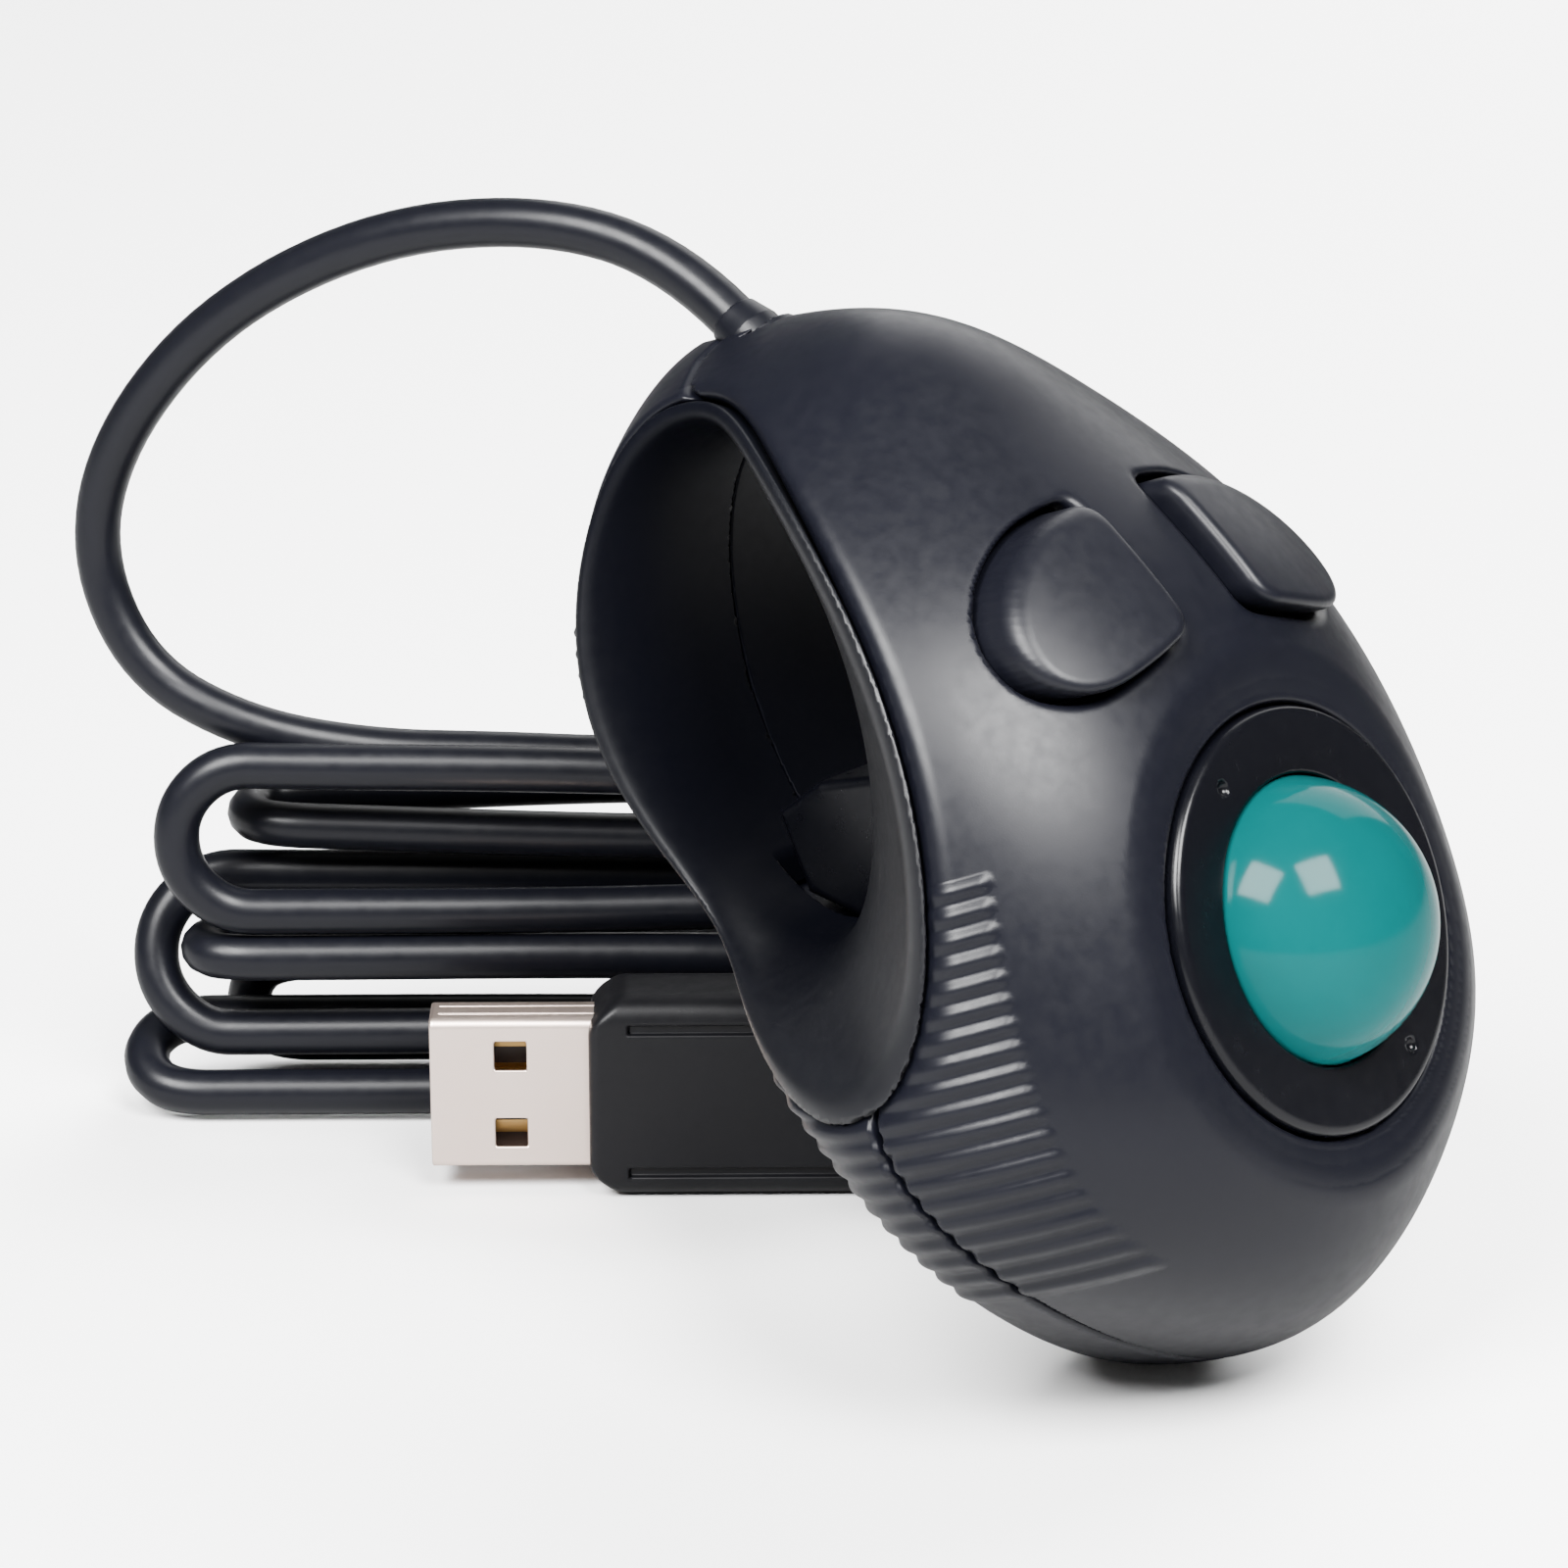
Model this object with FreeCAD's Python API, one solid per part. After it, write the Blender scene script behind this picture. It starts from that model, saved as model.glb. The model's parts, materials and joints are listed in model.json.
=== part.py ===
import FreeCAD, Part
import math, os
from FreeCAD import Vector as V

os.makedirs("parts", exist_ok=True)

# ---------------------------------------------------------------- driving dimensions (mm)
TILT = 20.98            # the ball ring's axis above the horizontal, degrees, as the body stands
RING_CENTRE = (13.10, 0.0, 35.00)   # centre of the ring plane above the rest facet

# body: control rows along the local length (tail to nose), oval sections
ROW_S = [-48.78, -48.78, -38.0, -21.0, 0.0, 17.0, 29.27, 29.27]
ROW_W = [-37.0, -37.5, -29.5, -23.0, -19.0, -17.0, -19.0, -19.0]
ROW_HALF = [0, 4.73, 21.99, 29.32, 30.12, 27.58, 5.48, 0]
ROW_THUMB = [0, 18.63, 16.67, 23.27, 23.07, 19.16, 12.37, 0]
ROW_FINGER = [0, 4.6, 20.6, 30.1, 18.5, 7.0, 12.2, 0]
WALL = 2.0              # shell wall
PART_GAP = 0.25         # visible gap along the parting line

# finger hole: rows outward from the middle: y, tail end, nose end, centre, up, down, turn
HOLE = [(0, -41.5, -6.5, -34.4, 10.0, 10.0, 0), (8, -42.2, -6.3, -34.4, 10.1, 10.1, 0),
        (12, -44.2, -5.8, -33.8, 10.8, 11.0, 1.5), (16, -45.5, -4.9, -32.6, 12.0, 13.0, 3.5),
        (20, -47.0, -3.4, -30.6, 13.8, 16.0, 6), (24, -48.5, -1.2, -27.2, 15.4, 20.5, 8.5),
        (27, -50.0, 0.8, -24.6, 15.6, 24.0, 11), (30, -51.5, 3.2, -22.0, 16.0, 28.0, 13),
        (34, -54.0, 7.0, -18.5, 18.0, 33.0, 15)]
SLEEVE_T = 1.5          # sleeve wall
SLEEVE_GAP = 0.2        # gap between sleeve and shells

BALL_R = 10.0
BALL_W = -2.5           # ball centre below the ring plane
CORE_R = 6.0
RING_R = 14.55
RING_T = 3.25
RING_BORE = 10.15
CUP_R, CUP_T = 10.6, 1.5
ROLLER_R = 1.5
SHAFT_R = 0.8
RUN = 0.03              # running clearance
ROLL_DIST = BALL_R + ROLLER_R + RUN
LOW = math.radians(35)  # rollers touch the ball this far below its equator
RH = ROLL_DIST * math.cos(LOW)
RW = BALL_W - ROLL_DIST * math.sin(LOW)
WHEEL_R, WHEEL_T, WHEEL_AT = 3.4, 0.8, -13.3
IDLER_R = 2.2
BOARD_TOP, BOARD_T = -17.4, 1.2
BUTTON_PROUD = 1.7
BUTTON_TRAVEL = 0.5
TRIG_TRAVEL = 3.5       # degrees
CABLE_R = 1.8
PLUG_L = (0.7507, 0.6606)   # direction of the plug and hank on the table
PLUG_T0, PLUG_N0 = -49.9, -34.3
OVER_LEN, OVER_TH, OVER_H = 24.0, 8.0, 16.0
SHELL_LEN, SHELL_TH, SHELL_H, SHELL_WALL = 12.0, 4.5, 12.0, 0.3
HANK_T0, HANK_T1, HANK_N0, HANK_N1, HANK_H = -88.0, -2.0, -48.5, -65.0, 30.4

# ---------------------------------------------------------------- frames
b_ = math.radians(TILT)
AX_S = V(math.sin(b_), 0, -math.cos(b_))
AX_W = V(math.cos(b_), 0, math.sin(b_))
ORG = V(*RING_CENTRE)


def to_row(shape):
    """Local (along, across, out) to the standing frame."""
    s = shape.copy()
    s.rotate(V(0, 0, 0), V(0, 1, 0), 90 - TILT)
    s.translate(ORG)
    return s


def loc(s, y, w):
    return AX_S * s + V(0, y, 0) + AX_W * w + ORG


def table(t, n, z):
    """Point on the table frame: t along the plug, n towards the front, z above the table."""
    lx, ly = PLUG_L
    return V(t * lx + n * ly + ORG.x, t * ly - n * lx + ORG.y, z)


NODES = {}


def put(name, shape, local=True):
    sol = shape.Solids
    shape = sol[0] if len(sol) == 1 else Part.makeCompound(sol)
    if local:
        shape = to_row(shape)
    NODES[name] = shape


def box(x0, x1, y0, y1, z0, z1):
    return Part.makeBox(x1 - x0, y1 - y0, z1 - z0, V(x0, y0, z0))


def cyl(p, d, r, h):
    return Part.makeCylinder(r, h, V(*p), V(*d))


def poly_y(pts, y0, y1):
    """Prism of a polygon in the (along, out) plane between two y."""
    w = Part.makePolygon([V(a, y0, b) for a, b in pts] + [V(pts[0][0], y0, pts[0][1])])
    return Part.Face(w).extrude(V(0, y1 - y0, 0))


# ---------------------------------------------------------------- free-form solids
def half_poles(b, c, z, s, sg):
    return [V(s, b, z), V(s, b, z + sg * c), V(s, 0, z + sg * c), V(s, -b, z + sg * c), V(s, -b, z)]


Q = math.sqrt(0.5)


def egg(d):
    s = list(ROW_S)
    s[0] -= d
    s[1] -= d
    s[-1] += d
    s[-2] += d
    faces = []
    for C, sg in ((ROW_THUMB, 1), (ROW_FINGER, -1)):
        poles = []
        for i in range(8):
            b = c = 0
            if 0 < i < 7:
                b, c = max(ROW_HALF[i] + d, 1), max(C[i] + d, 1)
            poles.append(half_poles(b, c, ROW_W[i], s[i], sg))
        bs = Part.BSplineSurface()
        bs.buildFromPolesMultsKnots(poles, [4, 1, 1, 1, 1, 4], [3, 2, 3], [0, .2, .4, .6, .8, 1], [0, .5, 1],
                                    False, False, 3, 2, [[1, Q, 1, Q, 1]] * 8)
        faces.append(bs.toShape())
    sh = Part.makeShell(faces)
    sh.sewShape()
    so = Part.makeSolid(sh)
    if so.Volume < 0:
        so.reverse()
    return so


def trumpet(d):
    rows = [(-q[0],) + tuple(q[1:]) for q in HOLE[:0:-1]] + [tuple(q) for q in HOLE]
    n = len(rows)
    faces = []
    for sg in (1, -1):
        poles = []
        for y, rear, front, wc, up, dn, turn in rows:
            a = (front - rear) / 2 + d
            cs = (front + rear) / 2
            c = (up if sg > 0 else dn) + d
            f = math.radians(turn)
            def P(x, z):
                return V(cs + x * math.cos(f) - z * math.sin(f), y, wc + x * math.sin(f) + z * math.cos(f))
            poles.append([P(a, 0), P(a, sg * c), P(0, sg * c), P(-a, sg * c), P(-a, 0)])
        bs = Part.BSplineSurface()
        k = n - 3
        bs.buildFromPolesMultsKnots(poles, [4] + [1] * (k - 1) + [4], [3, 2, 3], [i / k for i in range(k + 1)], [0, .5, 1],
                                    False, False, 3, 2, [[1, Q, 1, Q, 1]] * n)
        faces.append(bs.toShape())
    caps = []
    for yy in (rows[0][0], rows[-1][0]):
        es = [e for f in faces for e in f.Edges if abs(e.BoundBox.YMin - yy) < 1e-6 and abs(e.BoundBox.YMax - yy) < 1e-6]
        caps.append(Part.Face(Part.Wire(Part.__sortEdges__(es))))
    sh = Part.makeShell(faces + caps)
    sh.sewShape()
    so = Part.makeSolid(sh)
    if so.Volume < 0:
        so.reverse()
    return so


OUTER, INNER = egg(0), egg(-WALL)
HOLE_IN, HOLE_OUT, HOLE_CUT = trumpet(0), trumpet(SLEEVE_T), trumpet(SLEEVE_T + SLEEVE_GAP)



def parting(dw):
    """Everything above the parting line."""
    front = [V(2.4, 0, -17.1 + dw), V(8.8, 0, -16.5 + dw), V(15.5, 0, -15.3 + dw), V(21.0, 0, -15.2 + dw), V(27.0, 0, -15.8 + dw), V(34, 0, -16.8 + dw)]
    bs = Part.BSplineCurve()
    bs.interpolate(front)
    rear = [V(-80, 0, -35.8 + dw), V(-47.3, 0, -35.4 + dw), V(-45.7, 0, -34.4 + dw), V(-44.0, 0, -32.6 + dw), V(2.4, 0, -17.1 + dw)]
    e = [Part.makeLine(rear[i], rear[i + 1]) for i in range(4)] + [bs.toShape()]
    tail = [V(34, 0, -16.8 + dw), V(80, 0, -20 + dw), V(80, 0, 80), V(-80, 0, 80), rear[0]]
    e += [Part.makeLine(tail[i], tail[i + 1]) for i in range(4)]
    f = Part.Face(Part.Wire(e))
    f.translate(V(0, -60, 0))
    return f.extrude(V(0, 120, 0))


ABOVE, ABOVE_LOW = parting(0), parting(-PART_GAP)

# ---------------------------------------------------------------- cable exit
EXIT = V(-48.75, 0, -35.8)
EXIT_D = V(-0.8, 0, -0.6)
exit_hole = Part.makeCylinder(2.5, 8, EXIT - EXIT_D * 5, EXIT_D)
exit_room = Part.makeCylinder(3.4, 2.6, EXIT - EXIT_D * 4.6, EXIT_D)

# ---------------------------------------------------------------- buttons
D_PTS = [(-31.0, 4.0), (-30.5, 8.0), (-28.6, 12.2), (-26.0, 15.0), (-23.0, 16.3), (-20.5, 15.8), (-19.2, 13.6), (-19.5, 10.0), (-21.3, 4.0)]


def d_face(side, off):
    w = Part.makePolygon([V(a, side * b, 0) for a, b in D_PTS + D_PTS[:1]])
    f = Part.Face(w).makeOffset2D(-1.3).makeOffset2D(1.3 + off)
    return f.Faces[0] if f.Faces else Part.Face(f)


def prism(face, w0, w1):
    f = face.copy()
    f.translate(V(0, 0, w0))
    return f.extrude(V(0, 0, w1 - w0))


# ---------------------------------------------------------------- upper shell
upper = OUTER.common(ABOVE).cut(INNER)
collar = cyl((0, 0, -5.3), (0, 0, 1), 16.3, 8).cut(cyl((0, 0, -6), (0, 0, 1), 14.75, 10)).common(egg(-0.6))
ledge = cyl((0, 0, -5.3), (0, 0, 1), 16.3, 2.0).cut(cyl((0, 0, -6), (0, 0, 1), 12.7, 10))
bosses = [cyl((-30, 0, BOARD_TOP + 0.02), (0, 0, 1), 2.0, 9.3), cyl((-15.5, -11.2, BOARD_TOP + 0.02), (0, 0, 1), 1.8, 14.6),
          cyl((18.5, 8, -14.9), (0, 0, 1), 2.4, 12.5), cyl((18.5, -8, -14.9), (0, 0, 1), 2.4, 12.5)]
upper = upper.cut(cyl((0, 0, -6), (0, 0, 1), 14.75, 20))
for b in [collar, ledge] + [q.common(egg(-0.8)) for q in bosses]:
    upper = upper.fuse(b)
# shallow valley round the ring
prof = Part.makePolygon([V(10, 0, 8), V(10, 0, -1.6), V(16.5, 0, -1.6), V(19.6, 0, 0.7), V(24, 0, 8), V(10, 0, 8)])
valley = Part.Face(prof).revolve(V(0, 0, 0), V(0, 0, 1), 360)
groove = cyl((0, 0, -3.3), (0, 0, 1), 15.15, 1.3)
upper = upper.cut(valley).cut(groove)
for sd in (1, -1):
    upper = upper.cut(prism(d_face(sd, 0.35), -14, 10))
upper = upper.cut(HOLE_CUT).cut(exit_hole).cut(exit_room)
for p in ((-30, 0), (-15.5, -11.2)):
    upper = upper.cut(cyl((p[0], p[1], BOARD_TOP - 1), (0, 0, 1), 0.8, 6))
for p in ((18.5, 8), (18.5, -8)):
    upper = upper.cut(cyl((p[0], p[1], -16), (0, 0, 1), 0.9, 7))
for a in (45, 180, 270):
    c, s_ = math.cos(math.radians(a)), math.sin(math.radians(a))
    upper = upper.cut(cyl((14 * c, 14 * s_, -5.5), (0, 0, 1), 0.6, 1.6))
put("upper_shell", upper)

# ---------------------------------------------------------------- lower shell
lower = OUTER.cut(ABOVE_LOW).cut(INNER)
lb = [cyl((18.5, 8, -30), (0, 0, 1), 2.4, 15.0), cyl((18.5, -8, -30), (0, 0, 1), 2.4, 15.0)]
for b in lb:
    lower = lower.fuse(b.common(egg(-0.8)))
lower = lower.cut(HOLE_CUT).cut(exit_hole).cut(exit_room)
for p in ((18.5, 8), (18.5, -8)):
    lower = lower.cut(cyl((p[0], p[1], -40), (0, 0, 1), 1.15, 30)).cut(cyl((p[0], p[1], -40), (0, 0, 1), 2.0, 18.0))
# flat facet that the body stands on
facet = Part.makeBox(200, 200, 50, V(-100, -100, -50))
lower_row = to_row(lower).cut(facet)
NODES["lower_shell"] = max(lower_row.Solids, key=lambda q: q.Volume)
put("shell_screws", Part.makeCompound([cyl((18.5, y, -21.9 - 1.4), (0, 0, 1), 1.8, 1.3).fuse(cyl((18.5, y, -22.05), (0, 0, 1), 0.85, 12.4)) for y in (8, -8)]))

# ---------------------------------------------------------------- finger-hole sleeve
sleeve = HOLE_OUT.cut(HOLE_IN).common(OUTER)
trig_slot = box(-16.5, 2, -5.5, 5.5, -41.6, -24.2)
sleeve = sleeve.cut(trig_slot).cut(exit_room)
for nm, sd in (("left_finger_sleeve", -1), ("right_finger_sleeve", 1)):
    hb = box(-80, 60, 0.04, 60, -80, 40) if sd > 0 else box(-80, 60, -60, -0.04, -80, 40)
    h = sleeve.common(hb)
    put(nm, max(h.Solids, key=lambda q: q.Volume))

# ---------------------------------------------------------------- buttons and their switches
top = egg(BUTTON_PROUD)
for nm, sd in (("left", -1), ("right", 1)):
    core = prism(d_face(sd, 0), -14, 10).common(top).cut(egg(-3.3))
    core = max(core.Solids, key=lambda q: q.CenterOfMass.z)
    fl = prism(d_face(sd, 0.85), -14, 10).common(egg(-2.3)).cut(egg(-3.3))
    fl = max(fl.Solids, key=lambda q: q.CenterOfMass.z)
    stem = cyl((-24, sd * 9.5, -12.18), (0, 0, 1), 1.5, 7)
    b = core.fuse(fl).fuse(stem).removeSplitter()
    put(nm + "_button", b)
    sw = box(-27, -21, sd * 9.5 - 3, sd * 9.5 + 3, BOARD_TOP, BOARD_TOP + 3.4).cut(cyl((-24, sd * 9.5, BOARD_TOP + 1.2), (0, 0, 1), 1.65, 4))
    put(nm + "_switch_body", sw)
    put(nm + "_switch_plunger", cyl((-24, sd * 9.5, BOARD_TOP + 1.9), (0, 0, 1), 1.6, -12.2 - (BOARD_TOP + 1.9)))

# ---------------------------------------------------------------- trigger
PIV = (-9.0, -22.2)
tp = [(-7.0, -22.2), (-11.0, -22.4), (-12.6, -27.0), (-15.9, -30.8), (-16.3, -36.3), (-14.8, -40.9), (-8.6, -40.2), (-6.2, -36.0), (-5.6, -30.6), (-4.62, -30.3), (-4.62, -28.7), (-5.6, -28.4)]
trig = poly_y(tp, -5.0, 5.0).common(box(-60, 60, -5, 5, -60, -24.2)).fuse(poly_y([(-7.0, -22.2), (-11.0, -22.4), (-12.3, -26.2), (-6.0, -26.2)], -4.2, 4.2))
trig = trig.fuse(cyl((PIV[0], -4.2, PIV[1]), (0, 1, 0), 2.1, 8.4)).cut(cyl((PIV[0], -6, PIV[1]), (0, 1, 0), 0.96, 12))
try:
    ed = [e for e in trig.Edges if abs(e.CenterOfMass.y) > 4.9 and e.CenterOfMass.z < -29 and e.CenterOfMass.x < -9]
    trig = trig.makeFillet(0.9, ed)
except Exception:
    pass
put("trigger", trig)
put("trigger_pin", cyl((PIV[0], -6.6, PIV[1]), (0, 1, 0), 0.9, 13.2))
# two ears that hold the pin, hanging from the board's underside
ears = None
for y0, y1 in ((-6.5, -4.5), (4.5, 6.5)):
    e = box(PIV[0] - 2, PIV[0] + 2, y0, y1, PIV[1] - 1.6, BOARD_TOP - BOARD_T)
    ears = e if ears is None else ears.fuse(e)
ears = ears.fuse(box(PIV[0] + 2.2, PIV[0] + 4.0, -6.5, 6.5, BOARD_TOP - BOARD_T - 1.2, BOARD_TOP - BOARD_T)).fuse(box(PIV[0] - 2, PIV[0] + 4.0, -6.5, -4.5, BOARD_TOP - BOARD_T - 1.2, BOARD_TOP - BOARD_T)).fuse(box(PIV[0] - 2, PIV[0] + 4.0, 4.5, 6.5, BOARD_TOP - BOARD_T - 1.2, BOARD_TOP - BOARD_T))
ears = ears.cut(cyl((PIV[0], -7, PIV[1]), (0, 1, 0), 0.9, 14))
put("trigger_bracket", ears)
tsw = box(-3.6, -0.2, -3, 3, -32.5, -26.5).cut(cyl((-1.1, 0, -29.5), (-1, 0, 0), 1.65, 4))
put("trigger_switch_body", tsw)
put("trigger_switch_plunger", cyl((-1.7, 0, -29.5), (-1, 0, 0), 1.6, 2.9))
put("trigger_board", box(-0.2, 1.0, -8, 8, -34.0, -23.5))

# ---------------------------------------------------------------- ring, ball, cup
ring = cyl((0, 0, -RING_T), (0, 0, 1), RING_R, RING_T).cut(Part.makeSphere(RING_BORE, V(0, 0, BALL_W)))
for a in (90, 210, 330):
    lug = box(13.5, 15.0, -2.2, 2.2, -3.25, -2.15)
    lug.rotate(V(0, 0, 0), V(0, 0, 1), a)
    ring = ring.fuse(lug.common(cyl((0, 0, -4), (0, 0, 1), 15.0, 4)))
ring = ring.makeFillet(0.35, [e for e in ring.Edges if abs(e.BoundBox.ZMin) < 1e-6 and abs(e.BoundBox.ZMax) < 1e-6 and e.BoundBox.XLength > 28])
for a in (-150, 30):
    c, s_ = math.cos(math.radians(a)), math.sin(math.radians(a))
    ring = ring.cut(Part.makeSphere(0.55, V(12.2 * c, 12.2 * s_, 0.1)))
put("ball_retaining_ring", ring)
put("ball", Part.makeSphere(BALL_R, V(0, 0, BALL_W)).cut(Part.makeSphere(CORE_R + 0.02, V(0, 0, BALL_W))))
put("ball_core", Part.makeSphere(CORE_R, V(0, 0, BALL_W)))

cup = Part.makeSphere(CUP_R + CUP_T, V(0, 0, BALL_W)).common(box(-20, 20, -20, 20, -20, -5.35))
cup = cup.fuse(cyl((0, 0, -6.7), (0, 0, 1), 14.9, 1.35))
plate = box(-12.4, 12.4, -12.4, 12.4, -16.4, -15.2).cut(box(-13, -10.3, 6.5, 13, -17, -15)).cut(box(6.5, 13, -13, -10.3, -17, -15))
cup = cup.fuse(plate).fuse(cyl((0, 0, -15.6), (0, 0, 1), 4.5, 2.0))
posts = [box(-9.8, -8.4, 7.6, 11.2, -15.6, -7.75), box(5.6, 7.4, 7.6, 11.2, -15.6, -7.75),
         box(7.6, 11.2, -9.8, -8.4, -15.6, -7.75), box(7.6, 11.2, 5.6, 7.4, -15.6, -7.75)]
for p in posts:
    cup = cup.fuse(p)
cup = cup.cut(Part.makeSphere(CUP_R, V(0, 0, BALL_W)))
cup = cup.cut(cyl((-5.5, RH, RW), (1, 0, 0), 2.0, 11.0)).cut(cyl((-9.9, RH, RW), (1, 0, 0), SHAFT_R + 0.04, 18))
cup = cup.cut(cyl((RH, -5.5, RW), (0, 1, 0), 2.0, 11.0)).cut(cyl((RH, -9.9, RW), (0, 1, 0), SHAFT_R + 0.04, 18))


def polar(sh):
    """Turn a solid built on the +along axis to the idler's corner."""
    s = sh.copy()
    s.rotate(V(0, 0, 0), V(0, 0, 1), 225)
    return s


ID_R = (BALL_R + IDLER_R + RUN) * math.cos(LOW)
ID_W = BALL_W - (BALL_R + IDLER_R + RUN) * math.sin(LOW)
IP = (11.6, -13.6)
cup = cup.cut(polar(box(7, 13.4, -2.75, 2.75, -12.6, -6.6)))
for y0, y1 in ((-3.95, -2.7), (2.7, 3.95)):
    pst = box(10.3, 12.9, y0, y1, -15.6, -12.4)
    cup = cup.fuse(polar(pst))
cup = cup.cut(polar(cyl((IP[0], -5, IP[1]), (0, 1, 0), 0.74, 10)))
for a in (45, 180, 270):
    c, s_ = math.cos(math.radians(a)), math.sin(math.radians(a))
    cup = cup.cut(cyl((14 * c, 14 * s_, -8), (0, 0, 1), 0.75, 3))
put("ball_cup", max(cup.Solids, key=lambda q: q.Volume))
scr = []
for a in (45, 180, 270):
    c, s_ = math.cos(math.radians(a)), math.sin(math.radians(a))
    scr.append(cyl((14 * c, 14 * s_, -7.6), (0, 0, 1), 1.2, 0.9).fuse(cyl((14 * c, 14 * s_, -6.8), (0, 0, 1), 0.6, 2.7)))
put("cup_screws", Part.makeCompound(scr))


def wheel(at, centre):
    w = cyl((at - WHEEL_T / 2, centre[0], centre[1]), (1, 0, 0), WHEEL_R, WHEEL_T)
    for i in range(12):
        sl = box(at - 1, at + 1, centre[0] - 0.4, centre[0] + 0.4, centre[1] + 2.1, centre[1] + WHEEL_R + 1)
        sl.rotate(V(0, centre[0], centre[1]), V(1, 0, 0), i * 30)
        w = w.cut(sl)
    return w.cut(cyl((at - 2, centre[0], centre[1]), (1, 0, 0), SHAFT_R, 4))


roller = cyl((-14.6, RH, RW), (1, 0, 0), SHAFT_R, 22.0).fuse(cyl((-4.0, RH, RW), (1, 0, 0), ROLLER_R, 8.0))
put("roll_roller", roller)
put("roll_encoder_wheel", wheel(WHEEL_AT, (RH, RW)))
r2 = cyl((RH, -14.6, RW), (0, 1, 0), SHAFT_R, 22.0).fuse(cyl((RH, -4.0, RW), (0, 1, 0), ROLLER_R, 8.0))
put("pitch_roller", r2)
w2 = wheel(WHEEL_AT, (RH, RW))
w2.rotate(V(0, 0, 0), V(0, 0, 1), 90)      # the wheel now lies on an axis along y, at x = -RH
w2.translate(V(2 * RH, 0, 0))
put("pitch_encoder_wheel", w2)

put("idler_wheel", polar(cyl((ID_R, -1.0, ID_W), (0, 1, 0), IDLER_R, 2.0).cut(cyl((ID_R, -2, ID_W), (0, 1, 0), 0.63, 4))))
put("idler_axle", polar(cyl((ID_R, -2.5, ID_W), (0, 1, 0), 0.6, 5.0)))
dx, dz = IP[0] - ID_R, IP[1] - ID_W
ln = math.hypot(dx, dz)
arm = None
for y0, y1 in ((-2.5, -1.25), (1.25, 2.5)):
    q = cyl((ID_R, y0, ID_W), (0, 1, 0), 1.2, y1 - y0).fuse(cyl((IP[0], y0, IP[1]), (0, 1, 0), 1.2, y1 - y0))
    nx, nz = -dz / ln * 1.2, dx / ln * 1.2
    q = q.fuse(poly_y([(ID_R + nx, ID_W + nz), (IP[0] + nx, IP[1] + nz), (IP[0] - nx, IP[1] - nz), (ID_R - nx, ID_W - nz)], y0, y1))
    arm = q if arm is None else arm.fuse(q)
arm = arm.fuse(box(11.9, 13.0, -2.5, 2.5, -13.4, -12.3)).fuse(cyl((IP[0], -3.9, IP[1]), (0, 1, 0), 0.7, 7.8))
arm = arm.cut(cyl((ID_R, -3, ID_W), (0, 1, 0), 0.6, 6)).cut(cyl((ID_R, -1.15, ID_W), (0, 1, 0), 2.45, 2.3))
put("idler_arm", polar(max(arm.Solids, key=lambda q: q.Volume)))
put("idler_spring", polar(box(13.25, 13.45, -1.6, 1.6, -15.19, -12.2).fuse(box(13.25, 14.6, -1.6, 1.6, -15.19, -14.95))))

# ---------------------------------------------------------------- sensors and electronics
led = [box(-16.6, -14.6, RH - 1.5, RH + 1.5, BOARD_TOP, -10.4), box(RH - 1.5, RH + 1.5, -16.6, -14.6, BOARD_TOP, -10.4)]
pt = [box(-12.2, -10.8, RH - 1.5, RH + 1.5, BOARD_TOP, -10.4), box(RH - 1.5, RH + 1.5, -12.2, -10.8, BOARD_TOP, -10.4)]
put("infrared_leds", Part.makeCompound([led[0].fuse(cyl((-14.7, RH, -11.9), (1, 0, 0), 0.75, 0.6)), led[1].fuse(cyl((RH, -14.7, -11.9), (0, 1, 0), 0.75, 0.6))]))
put("phototransistors", Part.makeCompound(pt))

board = box(-34, 13.2, -17.4, 13, BOARD_TOP - BOARD_T, BOARD_TOP)
board = board.cut(box(-40, -2, -20, -13, -20, -15)).cut(cyl((-30, 0, -20), (0, 0, 1), 1.0, 5)).cut(cyl((-15.5, -11.2, -20), (0, 0, 1), 1.0, 5))
put("main_board", board)
put("board_screws", Part.makeCompound([cyl((x, y, BOARD_TOP - BOARD_T - 1.0), (0, 0, 1), 1.7, 1.0).fuse(cyl((x, y, BOARD_TOP - BOARD_T - 0.1), (0, 0, 1), 0.8, 5.6)) for x, y in ((-30, 0), (-15.5, -11.2))]))
put("controller_chip", box(-20.4, -16.6, -5, 5, BOARD_TOP, BOARD_TOP + 1.5))
put("crystal", Part.Face(Part.makePolygon([V(-26.5, -3.5, BOARD_TOP), V(-22.5, -3.5, BOARD_TOP), V(-22.5, 3.5, BOARD_TOP), V(-26.5, 3.5, BOARD_TOP), V(-26.5, -3.5, BOARD_TOP)])).extrude(V(0, 0, 3.0)))
put("capacitors", Part.makeCompound([cyl((-31.0, 4.6, BOARD_TOP), (0, 0, 1), 1.8, 4.2), cyl((-31.0, 9.0, BOARD_TOP), (0, 0, 1), 1.8, 4.2)]))
put("resistors", Part.makeCompound([box(-14.2, -12.9, y, y + 2.6, BOARD_TOP, BOARD_TOP + 0.6) for y in (-7.5, -3.5, 0.5, 4.2)]))
put("cable_connector", box(-33.8, -30.8, -9.2, -3.2, BOARD_TOP, BOARD_TOP + 3.4))


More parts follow.
